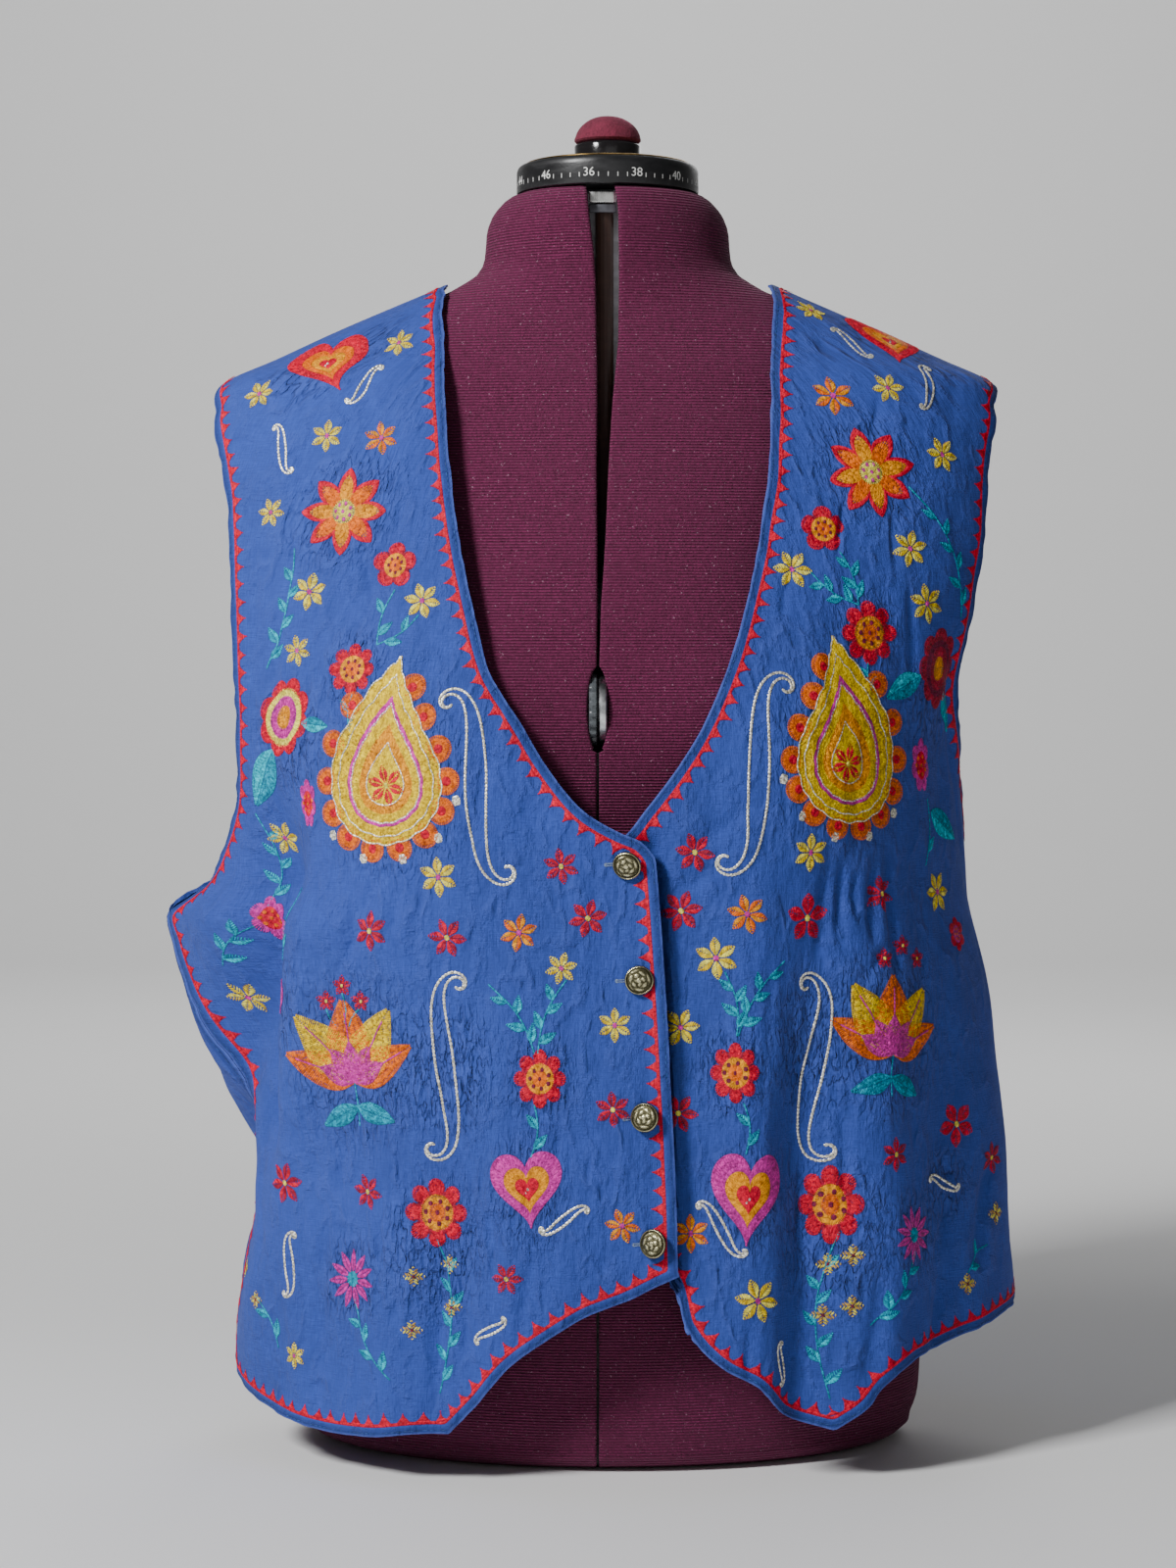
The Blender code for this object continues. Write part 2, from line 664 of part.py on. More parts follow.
def turned(name, profile, colour, place=None, steps=32):
    """A solid of revolution about Z from a profile of radius and height, from the foot to the top."""
    bm = bmesh.new()
    verts = [bm.verts.new((radius, 0.0, height)) for radius, height in profile]
    edges = [bm.edges.new(pair) for pair in zip(verts, verts[1:])]
    bmesh.ops.spin(
        bm, geom=verts + edges, cent=(0, 0, 0), axis=(0, 0, 1), angle=math.tau, steps=steps, use_merge=True
    )
    bmesh.ops.remove_doubles(bm, verts=bm.verts[:], dist=1e-6)
    return finish(name, bm, colour, place)


def button(number, distance, height):
    """A domed metal button with a raised rim, lying on the right front."""
    azimuth = azimuth_at(np.array([distance]), np.array([height]))
    grid = np.stack([azimuth, np.array([height])], axis=-1)[None]
    lift = closing_lift(grid, 1)
    seat = on_vest(grid[..., 0], grid[..., 1], lift)[0, 0]
    out = Vector(cloth_normals(grid, lift)[0, 0])
    stands = 0.0005
    r, h = BUTTON_RADIUS, BUTTON_HEIGHT
    profile = (
        (0.0, 0.0),
        (0.62 * r, 0.0),
        (0.66 * r, 0.22 * h),
        (0.93 * r, 0.30 * h),
        (r, 0.45 * h),
        (0.97 * r, 0.64 * h),
        (0.86 * r, 0.68 * h),
        (0.80 * r, 0.62 * h),
        (0.60 * r, 0.82 * h),
        (0.32 * r, 0.96 * h),
        (0.0, h),
    )
    place = Matrix.Translation(Vector(seat) + stands * out) @ out.to_track_quat("Z", "Y").to_matrix().to_4x4()
    return turned(f"button_{number}", profile, "old_brass", place, steps=16)


def split_outline(height, surface):
    """The points across the split at one height, from the wearer's left lip to the right lip."""
    knots = column(SPLIT, 0)
    middle, mouth, inside, depth = (np.interp(height, knots, column(SPLIT, i)) for i in range(1, 5))
    lip = min(0.0016, depth / 3.0)
    lips = ((mouth, 0.0), (inside, lip), (inside, depth), (-inside, depth), (-inside, lip), (-mouth, 0.0))
    return [(middle + across, -surface + inwards) for across, inwards in lips]


def form_torso():
    """The form's body: rings joined from the floor to the top of the neck, split down the front."""
    bm = bmesh.new()
    loops = []
    for height, half_width, front, rear in FORM_RINGS:
        clear = math.degrees(math.asin(SPLIT_MARGIN / front))
        azimuths = np.linspace(clear, 360.0 - clear, FORM_COLUMNS)
        depth = np.where(np.cos(np.radians(azimuths)) > 0.0, front, rear)
        signed = (azimuths + 180.0) % 360.0 - 180.0
        radius = oval(azimuths, half_width, depth) + bulges(FORM_BUST, signed, height)
        turn = np.radians(azimuths)
        ring = list(zip(radius * np.sin(turn), -radius * np.cos(turn)))
        ring += reversed(split_outline(height, front))
        loops.append([bm.verts.new((x, y, height)) for x, y in ring])
    count = len(loops[0])
    for lower, upper in zip(loops, loops[1:]):
        for i in range(count):
            j = (i + 1) % count
            bm.faces.new((lower[i], lower[j], upper[j], upper[i]))
    bm.faces.new(loops[0])
    bm.faces.new(loops[-1])
    bmesh.ops.triangulate(bm, faces=[f for f in bm.faces if len(f.verts) > 4])
    return finish("form_torso", bm, "knit")


def form_fittings():
    """The neck dial with its trim and knob, and what shows inside the split."""
    foot = NECK_TOP + PIECE_GAP
    shoulder = foot + DIAL_SIDE
    top = shoulder + DIAL_ROUND
    turned(
        "form_dial",
        (
            (0.0, foot),
            (DIAL_RADIUS - 0.0012, foot),
            (DIAL_RADIUS, foot + 0.0012),
            (DIAL_RADIUS, shoulder),
            (DIAL_RADIUS - 0.0006, shoulder + 0.5 * DIAL_ROUND),
            (DIAL_RADIUS - 0.0022, shoulder + 0.85 * DIAL_ROUND),
            (PLATE_RADIUS - 0.0002, top),
            (0.0, top),
        ),
        "black_plastic",
        steps=40,
    )
    plate = top + PIECE_GAP
    plate_top = plate + PLATE_THICKNESS
    turned(
        "form_dial_plate",
        (
            (0.0, plate),
            (PLATE_RADIUS - 0.0003, plate),
            (PLATE_RADIUS, plate + 0.3 * PLATE_THICKNESS),
            (PLATE_RADIUS, plate + 0.7 * PLATE_THICKNESS),
            (PLATE_RADIUS - 0.0004, plate_top),
            (0.0, plate_top),
        ),
        "gold_trim",
        steps=40,
    )
    collar = plate_top + PIECE_GAP
    collar_top = collar + KNOB_COLLAR
    turned(
        "form_knob_collar",
        (
            (0.0, collar),
            (KNOB_RADIUS - 0.0006, collar),
            (KNOB_RADIUS, collar + 0.0008),
            (KNOB_RADIUS, collar_top - 0.0012),
            (KNOB_RADIUS - 0.0010, collar_top),
            (0.0, collar_top),
        ),
        "black_plastic",
        steps=28,
    )
    cushion = collar_top + PIECE_GAP
    dome = [
        (KNOB_RADIUS * math.cos(a), cushion + 0.0015 + (KNOB_CUSHION - 0.0015) * math.sin(a))
        for a in np.linspace(0.0, math.pi / 2, 7)
    ]
    turned(
        "form_knob_cushion",
        [(0.0, cushion), (KNOB_RADIUS - 0.0012, cushion)] + dome[:-1] + [(0.0, dome[-1][1])],
        "velvet",
        steps=28,
    )
    post_foot, post_top = 0.4750, 0.6880
    post = Matrix.Translation((*POST_PLACE, 0.0))
    turned(
        "form_post",
        ((0.0, post_foot), (POST_RADIUS, post_foot), (POST_RADIUS, post_top), (0.0, post_top)),
        "black_plastic",
        post,
        steps=16,
    )
    bm = bmesh.new()
    bmesh.ops.create_cube(bm, size=1.0)
    bmesh.ops.scale(bm, vec=BRACKET_SIZE, verts=bm.verts[:])
    bmesh.ops.bevel(bm, geom=bm.edges[:], affect="EDGES", offset=0.0005, segments=1, profile=0.5, material=-1)
    finish("form_bracket", bm, "pale_metal", Matrix.Translation(BRACKET_PLACE))


def form_wheel():
    """Two thumb discs on one hub, the wearer's right one toothed, turning about the width of the form."""
    half, gap = WHEEL_WIDTH / 2, 0.0005
    hub = 0.35 * WHEEL_RADIUS
    near, far = -WHEEL_WIDTH - gap, WHEEL_WIDTH + gap
    profile = (
        (0.0, near),
        (0.93 * WHEEL_RADIUS, near),
        (WHEEL_RADIUS, near + 0.0006),
        (WHEEL_RADIUS, -gap - 0.0004),
        (0.97 * WHEEL_RADIUS, -gap),
        (hub, -gap),
        (hub, gap),
        (0.95 * WHEEL_RADIUS, gap),
        (0.98 * WHEEL_RADIUS, half),
        (0.95 * WHEEL_RADIUS, far),
        (0.0, far),
    )
    place = Matrix.Translation(WHEEL_PLACE) @ Matrix.Rotation(math.pi / 2, 4, "Y")
    wheel = turned("form_wheel", profile, "black_plastic", place, steps=2 * WHEEL_TEETH)
    step = math.tau / (2 * WHEEL_TEETH)
    for v in wheel.data.vertices:
        if v.co.z < -gap and math.hypot(v.co.x, v.co.y) > 0.99 * WHEEL_RADIUS:
            if round(math.atan2(v.co.y, v.co.x) / step) % 2:
                v.co.x *= 0.95
                v.co.y *= 0.95
    return wheel


bpy.ops.object.select_all(action="DESELECT")
for leftover in list(bpy.data.objects):
    bpy.data.objects.remove(leftover)
collection = bpy.data.collections.new("vest_on_dress_form")
bpy.context.scene.collection.children.link(collection)

right_front()
left_front()
back()
for number, (distance, height) in enumerate(BUTTONS, start=1):
    button(number, distance, height)
form_torso()
form_fittings()
form_wheel()
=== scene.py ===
"""Dresses the embroidered vest and the dress form that it hangs on.

Every length is in metres unless its name says millimetres, with +Z up, the front towards -Y and the wearer's
left towards +X. A place on the cloth is an azimuth in degrees (0 at the front, 90 at the wearer's left) and a
height, and the wrap says how far out the cloth hangs there.
"""

import math

import bmesh
import bpy
import numpy as np
from bpy.props import FloatProperty, FloatVectorProperty, IntProperty, PointerProperty
from mathutils import Matrix, Vector


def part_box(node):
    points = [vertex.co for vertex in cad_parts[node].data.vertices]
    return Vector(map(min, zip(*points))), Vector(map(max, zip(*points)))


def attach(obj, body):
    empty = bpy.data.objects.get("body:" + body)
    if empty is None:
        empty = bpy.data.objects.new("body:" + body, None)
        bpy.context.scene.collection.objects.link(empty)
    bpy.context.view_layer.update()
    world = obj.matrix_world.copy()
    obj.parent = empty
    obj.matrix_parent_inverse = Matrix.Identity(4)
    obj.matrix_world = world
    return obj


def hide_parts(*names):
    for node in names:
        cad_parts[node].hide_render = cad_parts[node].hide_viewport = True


bl_info = {
    "name": "Embroidered Folk Vest",
    "version": (1, 0, 0),
    "blender": (4, 5, 0),
    "location": "View3D > Sidebar > Folk Vest",
    "description": "Makes the cloth, embroidery, buttons and dress form of an embroidered folk vest",
    "category": "Object",
}

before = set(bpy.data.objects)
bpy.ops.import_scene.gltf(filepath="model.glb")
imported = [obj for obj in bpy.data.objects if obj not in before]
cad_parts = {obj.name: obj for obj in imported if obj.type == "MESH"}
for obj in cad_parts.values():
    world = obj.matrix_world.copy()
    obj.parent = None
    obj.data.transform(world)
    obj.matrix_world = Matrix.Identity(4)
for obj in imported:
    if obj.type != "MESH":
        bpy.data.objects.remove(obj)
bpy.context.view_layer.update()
BODY = "root"

# Driving sizes of the vest, as in its solids.
OVERLAP_LIFT = 0.0010
UNDERLAP_DROP = 0.0016
UNDERLAP_DIP = 0.0028
SEAM_GAP = 0.0004
SHOULDER_POINT = 0.643
SHOULDER_TIP = 0.590
BUTTON_RADIUS = 0.0076
BUTTON_HEIGHT = 0.0042

# Driving sizes of the dress form, as in its solids.
NECK_TOP = 0.6925
DIAL_RADIUS = 0.0510
DIAL_SIDE = 0.0115
KNOB_RADIUS = 0.0187
KNOB_CUSHION = 0.0155

# How far out the vest hangs: height, half width at the wearer's right, half width at the wearer's left,
# depth at the front, depth at the back.
VEST_RINGS = (
    (0.01, 0.207, 0.228, 0.151, 0.132), (0.06, 0.206, 0.227, 0.15, 0.13), (0.1, 0.202, 0.2255, 0.149, 0.127),
    (0.13, 0.199, 0.224, 0.148, 0.124), (0.155, 0.202, 0.222, 0.147, 0.122), (0.175, 0.209, 0.22, 0.147, 0.12),
    (0.196, 0.217, 0.218, 0.147, 0.119), (0.216, 0.2205, 0.2155, 0.147, 0.118), (0.237, 0.2255, 0.214, 0.147, 0.117),
    (0.258, 0.2305, 0.2115, 0.1465, 0.116), (0.276, 0.2355, 0.208, 0.146, 0.116), (0.292, 0.239, 0.2045, 0.146, 0.116),
    (0.31, 0.2245, 0.2015, 0.146, 0.116), (0.33, 0.2205, 0.2005, 0.146, 0.117), (0.35, 0.2205, 0.1995, 0.146, 0.117),
    (0.38, 0.2245, 0.199, 0.1435, 0.118), (0.42, 0.2312, 0.2055, 0.138, 0.119), (0.46, 0.2345, 0.219, 0.129, 0.118),
    (0.5, 0.2362, 0.2265, 0.117, 0.114), (0.54, 0.2345, 0.2285, 0.102, 0.107), (0.57, 0.2262, 0.2245, 0.089, 0.097),
    (0.59, 0.2105, 0.212, 0.077, 0.086), (0.6, 0.1872, 0.1895, 0.07, 0.079), (0.615, 0.155, 0.156, 0.0635, 0.071),
    (0.63, 0.1202, 0.121, 0.058, 0.063), (0.643, 0.09, 0.0908, 0.052, 0.056),
)

# The cloth over the bust: azimuth, height, how far out, half angle, reach upwards, reach downwards.
BUST = (
    (-36.0, 0.4, 0.011, 20.0, 0.055, 0.17), (36.0, 0.4, 0.01, 20.0, 0.055, 0.17),
)

# The largest folds: azimuth at the top, azimuth at the foot, top, foot, how far out, half width.
# A fold whose foot is below the hem runs off it.
FOLDS = (
    (-63.0, -73.0, 0.385, 0.14, -0.024, 0.021), (-66.0, -96.0, 0.31, 0.095, -0.021, 0.02),
    (-91.0, -81.5, 0.345, 0.15, 0.008, 0.0125), (-52.0, -79.0, 0.345, 0.01, 0.007, 0.024),
    (-30.0, -33.5, 0.22, -0.12, -0.0045, 0.018), (-43.0, -45.0, 0.24, -0.12, 0.0035, 0.016),
    (-14.0, -20.0, 0.28, -0.12, 0.003, 0.018), (40.0, 37.5, 0.36, -0.16, -0.0095, 0.0165),
    (29.0, 27.0, 0.33, -0.12, 0.0035, 0.018), (53.0, 51.0, 0.34, -0.12, 0.0045, 0.019),
    (66.0, 64.0, 0.28, -0.12, -0.006, 0.018), (79.0, 80.0, 0.3, -0.12, 0.003, 0.019),
    (112.0, 118.0, 0.33, -0.12, -0.006, 0.02), (137.0, 133.0, 0.4, -0.12, 0.006, 0.021),
    (158.0, 152.0, 0.3, -0.12, -0.0055, 0.019), (181.0, 176.0, 0.36, -0.12, 0.005, 0.022),
    (204.0, 208.0, 0.32, -0.12, -0.006, 0.019), (229.0, 226.0, 0.42, -0.12, 0.006, 0.021),
    (250.0, 246.0, 0.26, -0.12, -0.005, 0.018),
)
FOLD_ONSET = 0.35
FOLD_DYING = 0.75

# Edges of the wearer's right front, which lies over the other.
RIGHT_CLOSING = (  # distance from the middle, height
    (0.035, 0.1125), (0.0335, 0.16), (0.0305, 0.22), (0.027, 0.28), (0.0235, 0.3287),
)
RIGHT_NECKLINE = (  # distance from the middle, height
    (0.0235, 0.3287), (0.0169, 0.3369), (0.0067, 0.3414), (-0.011, 0.3515), (-0.0313, 0.3743), (-0.0467, 0.3996),
    (-0.0621, 0.4251), (-0.0716, 0.4611), (-0.0782, 0.4923), (-0.0854, 0.5405), (-0.0885, 0.585), (-0.09, 0.615),
    (-0.0905, 0.63), (-0.0904, 0.6385), (-0.0901, 0.642),
)
RIGHT_HEM_TO_POINT = (  # azimuth, height
    (13.6, 0.1125), (3.7, 0.1), (-4.3, 0.092), (-12.1, 0.0795), (-19.8, 0.064), (-25.5, 0.046), (-32.2, 0.0275),
)
RIGHT_HEM_TO_SIDE = (
    (-32.2, 0.0275), (-36.6, 0.0272), (-46.3, 0.0235), (-56.5, 0.0225), (-65.9, 0.0259), (-74.6, 0.0324),
    (-81.9, 0.0408), (-86.0, 0.049),
)
RIGHT_SIDE_SEAM = (
    (-86.0, 0.049), (-85.0, 0.1), (-83.6, 0.15), (-82.6, 0.18), (-82.6, 0.2), (-83.4, 0.22), (-84.6, 0.245),
    (-86.0, 0.27), (-87.3, 0.292),
)
RIGHT_ARMHOLE_FRONT = (
    (-87.3, 0.292), (-82.8, 0.31), (-77.8, 0.335), (-73.8, 0.36), (-71.7, 0.4), (-72.7, 0.46), (-76.2, 0.52),
    (-83.2, 0.57),
)
RIGHT_ARMHOLE_BACK = (
    (-87.3, 0.292), (-91.6, 0.2965), (-100.0, 0.312), (-108.0, 0.335), (-112.0, 0.37), (-113.0, 0.42), (-111.0, 0.47),
    (-107.0, 0.52), (-101.0, 0.565),
)

# Edges of the wearer's left front, which lies under the other.
LEFT_CLOSING = (  # distance from the middle, height
    (0.0405, 0.083), (0.0385, 0.0905), (0.0355, 0.104), (0.028, 0.118), (0.017, 0.14), (0.01, 0.17), (0.006, 0.22),
    (0.002, 0.28), (-0.0025, 0.333),
)
LEFT_NECKLINE = (
    (-0.0025, 0.333), (0.0078, 0.3399), (0.0194, 0.354), (0.0347, 0.3743), (0.0501, 0.3996), (0.0631, 0.4302),
    (0.0722, 0.4611), (0.0794, 0.4923), (0.0846, 0.535), (0.088, 0.585), (0.09, 0.615), (0.0905, 0.63),
    (0.0906, 0.6385), (0.0906, 0.642),
)
LEFT_HEM_TO_POINT = (  # azimuth, height
    (15.8, 0.083), (17.4, 0.0765), (21.9, 0.0642), (28.3, 0.0539), (33.7, 0.0393), (43.5, 0.0275),
)
LEFT_HEM_TO_SIDE = (
    (43.5, 0.0275), (47.8, 0.0387), (51.5, 0.0521), (56.6, 0.0605), (62.9, 0.0644), (72.5, 0.0719), (84.9, 0.079),
    (97.0, 0.083),
)
LEFT_SIDE_SEAM = (
    (97.0, 0.083), (97.5, 0.17), (99.0, 0.25), (101.0, 0.315),
)
LEFT_ARMHOLE_FRONT = (
    (101.0, 0.315), (94.4, 0.33), (87.0, 0.355), (81.0, 0.385), (75.8, 0.42), (74.9, 0.453), (76.6, 0.497),
    (79.4, 0.541), (83.4, 0.574),
)
LEFT_ARMHOLE_BACK = (
    (101.0, 0.315), (106.0, 0.328), (111.0, 0.355), (114.0, 0.4), (113.0, 0.45), (109.0, 0.505), (103.0, 0.55),
)
BACK_HEM = (  # azimuth, height, from the wearer's right side to the left
    (-86.0, 0.049), (-110.0, 0.056), (-145.0, 0.06), (-180.0, 0.062), (-220.0, 0.068), (-245.0, 0.077),
    (-263.0, 0.083),
)
BACK_NECKLINE = (  # azimuth, height
    (-90.0, 0.643), (-108.0, 0.638), (-128.0, 0.629), (-152.0, 0.622), (-180.0, 0.62), (-208.0, 0.622),
    (-232.0, 0.629), (-252.0, 0.638), (-270.0, 0.643),
)

# Buttons from the top: distance from the middle, height.
BUTTONS = (
    (0.0098, 0.3262), (0.0155, 0.266), (0.0192, 0.1948), (0.0243, 0.1295),
)

# The dress form: height, half width, depth at the front, depth at the back.
FORM_RINGS = (
    (0.0, 0.152, 0.09, 0.096), (0.004, 0.163, 0.101, 0.107), (0.015, 0.17, 0.107, 0.113), (0.045, 0.175, 0.111, 0.118),
    (0.085, 0.176, 0.113, 0.119), (0.14, 0.166, 0.11, 0.112), (0.2, 0.15, 0.104, 0.098), (0.25, 0.142, 0.101, 0.09),
    (0.3, 0.148, 0.108, 0.092), (0.345, 0.157, 0.119, 0.098), (0.383, 0.1645, 0.127, 0.1015),
    (0.3855, 0.165, 0.1275, 0.102), (0.426, 0.1685, 0.126, 0.105), (0.4285, 0.169, 0.1255, 0.1055),
    (0.46, 0.171, 0.119, 0.106), (0.48, 0.174, 0.113, 0.105), (0.5, 0.177, 0.106, 0.104), (0.535, 0.185, 0.092, 0.097),
    (0.56, 0.1905, 0.0815, 0.09), (0.578, 0.19, 0.074, 0.083), (0.59, 0.186, 0.0695, 0.0775),
    (0.6, 0.176, 0.065, 0.071), (0.61, 0.157, 0.061, 0.0655), (0.62, 0.1335, 0.0575, 0.0595),
    (0.63, 0.109, 0.0545, 0.054), (0.6385, 0.0885, 0.0535, 0.0525), (0.6425, 0.0815, 0.0535, 0.053),
    (0.647, 0.0745, 0.0535, 0.054), (0.653, 0.0702, 0.0538, 0.055), (0.662, 0.0685, 0.054, 0.0555),
    (0.674, 0.0672, 0.0545, 0.0555), (0.6815, 0.064, 0.054, 0.055), (0.687, 0.0595, 0.0525, 0.0535),
    (0.691, 0.0545, 0.0495, 0.0505), (NECK_TOP, 0.0505, 0.046, 0.047),
)
FORM_BUST = (
    (-36.0, 0.4, 0.0165, 19.0, 0.05, 0.052), (36.0, 0.4, 0.0165, 19.0, 0.05, 0.052),
)

# The split down the form's front: height, middle, half width of its mouth, half width inside, depth.
SPLIT = (
    (0.0, -0.0058, 0.0006, 0.0006, 0.003), (0.383, -0.0058, 0.0006, 0.0006, 0.003),
    (0.3855, -0.0058, 0.0054, 0.0058, 0.0345), (0.426, -0.0058, 0.0054, 0.0058, 0.0345),
    (0.4285, -0.0057, 0.0006, 0.0006, 0.003), (0.46, -0.0051, 0.0009, 0.008, 0.089),
    (0.48, -0.0044, 0.0016, 0.009, 0.082), (0.5, -0.0038, 0.0022, 0.0095, 0.076),
    (0.535, -0.0032, 0.0031, 0.0095, 0.062), (0.568, -0.002, 0.0039, 0.0095, 0.048),
    (0.59, -0.001, 0.0049, 0.01, 0.04), (0.605, -0.0004, 0.0058, 0.01, 0.033), (0.6385, -0.0004, 0.0063, 0.01, 0.0235),
    (0.656, -0.001, 0.0068, 0.01, 0.0238), (0.6785, -0.0026, 0.008, 0.01, 0.0242),
    (0.688, -0.0036, 0.0078, 0.0095, 0.022), (NECK_TOP, -0.0045, 0.0077, 0.009, 0.016),
)

# Curves and rings.

WRAP_FOOT = 0.012
STEP_TURN, STEP_UP = 0.1, 0.0002  # the steps, in degrees and metres, by which the wrap's slopes are taken


def column(table, index):
    return np.array([row[index] for row in table])


def eased(low, high, value):
    """0 up to low, 1 from high, and a smooth step between."""
    t = np.clip((value - low) / (high - low), 0.0, 1.0)
    return t * t * (3.0 - 2.0 * t)


def through(knots, values, at):
    """A smooth curve through the values at the knots, read at the places given."""
    slopes = np.gradient(values, knots)
    at = np.clip(at, knots[0], knots[-1])
    i = np.clip(np.searchsorted(knots, at) - 1, 0, len(knots) - 2)
    span = knots[i + 1] - knots[i]
    t = (at - knots[i]) / span
    rise = values[i + 1] - values[i]
    bend = t * (1.0 - t) * ((1.0 - t) * (slopes[i] * span - rise) - t * (slopes[i + 1] * span - rise))
    return values[i] + t * rise + bend


def turned_by(angle):
    """The same turn in degrees, from -180 to 180."""
    return (angle + 180.0) % 360.0 - 180.0


def bulges(table, azimuth, height):
    total = 0.0
    for middle, level, out, angle, above, below in table:
        turn = (azimuth - middle) / angle
        lift = np.where(height > level, (height - level) / above, (level - height) / below)
        total = total + out * np.exp(-(turn**2) - lift**2)
    return total


def oval(azimuth, half_width, depth):
    """The radius at this azimuth of an oval with that half width and that depth."""
    a = np.radians(azimuth)
    return 1.0 / np.hypot(np.sin(a) / half_width, np.cos(a) / depth)


def smooth_radius(azimuth, height):
    """How far out the cloth's outer face would be without its folds."""
    knots = column(VEST_RINGS, 0)
    right, left, front, rear = (through(knots, column(VEST_RINGS, i), height) for i in range(1, 5))
    half_width = np.where(np.sin(np.radians(azimuth)) < 0.0, right, left)
    depth = np.where(np.cos(np.radians(azimuth)) > 0.0, front, rear)
    return oval(azimuth, half_width, depth) + bulges(BUST, azimuth, height)


def vest_radius(azimuth, height):
    """How far out the cloth's outer face is, before the closing's overlap."""
    smooth = smooth_radius(azimuth, height)
    radius = smooth
    for top_turn, foot_turn, top, foot, out, width in FOLDS:
        t = np.clip((top - height) / (top - foot), 0.0, 1.0)
        middle = top_turn + (foot_turn - top_turn) * t
        across = np.radians(turned_by(azimuth - middle)) * smooth / width
        strength = eased(0.0, FOLD_ONSET, t) * (1.0 - eased(FOLD_DYING, 1.0, t))
        radius = radius + out * strength * np.exp(-(across**2))
    return radius


def at_radius(azimuth, height, radius):
    a = np.radians(azimuth)
    return np.stack([radius * np.sin(a), -radius * np.cos(a), height + 0.0 * azimuth], axis=-1)


def on_vest(azimuth, height, lift=0.0):
    """Points of the cloth's outer face, moved out by lift along the radius."""
    return at_radius(azimuth, height, vest_radius(azimuth, height) + lift)


def unfolded(azimuth, height):
    """The same points, were the cloth without its folds."""
    return at_radius(azimuth, height, smooth_radius(azimuth, height))


def azimuth_at(distance, height):
    """The azimuth on the front where the cloth is that far to the side of the middle."""
    low = np.full_like(distance, -89.0)
    high = np.full_like(distance, 89.0)
    for _ in range(40):
        middle = (low + high) / 2.0
        beyond = on_vest(middle, height)[..., 0] > distance
        high = np.where(beyond, middle, high)
        low = np.where(beyond, low, middle)
    return (low + high) / 2.0


# Edges, as azimuths and heights.


def run_along(points):
    """How far along the line each of its points lies."""
    return np.concatenate([[0.0], np.cumsum(np.linalg.norm(np.diff(points, axis=0), axis=-1))])


def read_at(at, run, line):
    """The places at those runs along a line."""
    return np.stack([np.interp(at, run, part) for part in line.T], axis=-1)


def dense(table, from_middle=False, count=240):
    """A smooth curve through a table's places, whose first column may be distances from the middle."""
    points = np.array(table)
    knots = run_along(points / ((1.0, 1.0) if from_middle else (90.0, 0.25)))
    at = np.linspace(0.0, knots[-1], count)
    across, height = (through(knots, part, at) for part in points.T)
    return np.stack([azimuth_at(across, height) if from_middle else across, height], axis=-1)


def shoulder_seam(azimuth, count=60):
    """From the neck to the tip of the shoulder, along its ridge."""
    heights = np.linspace(SHOULDER_POINT, SHOULDER_TIP, count)
    return np.stack([np.full(count, azimuth), heights], axis=-1)


def spaced(curve, steps):
    """Steps + 1 points along the curve, evenly spaced on the cloth."""
    run = run_along(on_vest(*curve.T))
    return read_at(np.linspace(0.0, run[-1], steps + 1), run, curve)


def edge(*stretches):
    """One edge out of stretches, each a curve with its number of steps; a stretch starts where the last ends."""
    found = [spaced(curve, steps) for curve, steps in stretches]
    return np.concatenate([found[0]] + [stretch[1:] for stretch in found[1:]])


def joined_to(curve, end):
    return np.concatenate([curve, [end]])


def moved_round(curve, distance):
    """The edge moved round the body by a small distance along the cloth."""
    azimuth, height = curve.T
    return np.stack([azimuth + np.degrees(distance / vest_radius(azimuth, height)), height], axis=-1)


def on_wrap(height):
    """The height, held between the lowest and the highest that the wrap reaches."""
    return np.clip(height, WRAP_FOOT, SHOULDER_POINT - STEP_UP)


def ways(azimuth, height):
    """On the unfolded wrap: the point, the way round for a degree and the way up for a metre."""
    here = unfolded(azimuth, height)
    along = (unfolded(azimuth + STEP_TURN, height) - here) / STEP_TURN
    return here, along, (here - unfolded(azimuth, height - STEP_UP)) / STEP_UP


def nearest_on_vest(points, turns=6):
    """Azimuths and heights of the places on the unfolded wrap nearest to the points."""
    azimuth = np.degrees(np.unwrap(np.arctan2(points[..., 0], -points[..., 1]), axis=0))
    height = on_wrap(points[..., 2])
    for _ in range(turns):
        here, along, up = ways(azimuth, height)
        off = points - here
        aa, uu, au = (along * along).sum(-1), (up * up).sum(-1), (along * up).sum(-1)
        oa, ou = (off * along).sum(-1), (off * up).sum(-1)
        whole = aa * uu - au * au + 1e-12
        azimuth = azimuth + 0.8 * (oa * uu - ou * au) / whole
        height = on_wrap(height + 0.8 * (ou * aa - oa * au) / whole)
    return np.stack([azimuth, height], axis=-1)


def patch(foot, top, first, last):
    """A grid of azimuths and heights inside four edges: [column, row] from the foot and from the first side."""
    below, above, near, far = (unfolded(*curve.T) for curve in (foot, top, first, last))
    below, above, near, far = below[:, None], above[:, None], near[None], far[None]
    u = np.linspace(0.0, 1.0, len(foot))[:, None, None]
    v = np.linspace(0.0, 1.0, len(first))[None, :, None]
    corners = (1.0 - v) * ((1.0 - u) * below[0] + u * below[-1]) + v * ((1.0 - u) * above[0] + u * above[-1])
    points = (1.0 - u) * near + u * far + (1.0 - v) * below + v * above - corners
    grid = nearest_on_vest(points)
    grid[..., 0] += 360.0 * np.round((first[0, 0] - grid[0, 0, 0]) / 360.0)
    grid[:, 0], grid[:, -1], grid[0], grid[-1] = foot, top, first, last
    return grid


# Making and finishing pieces.


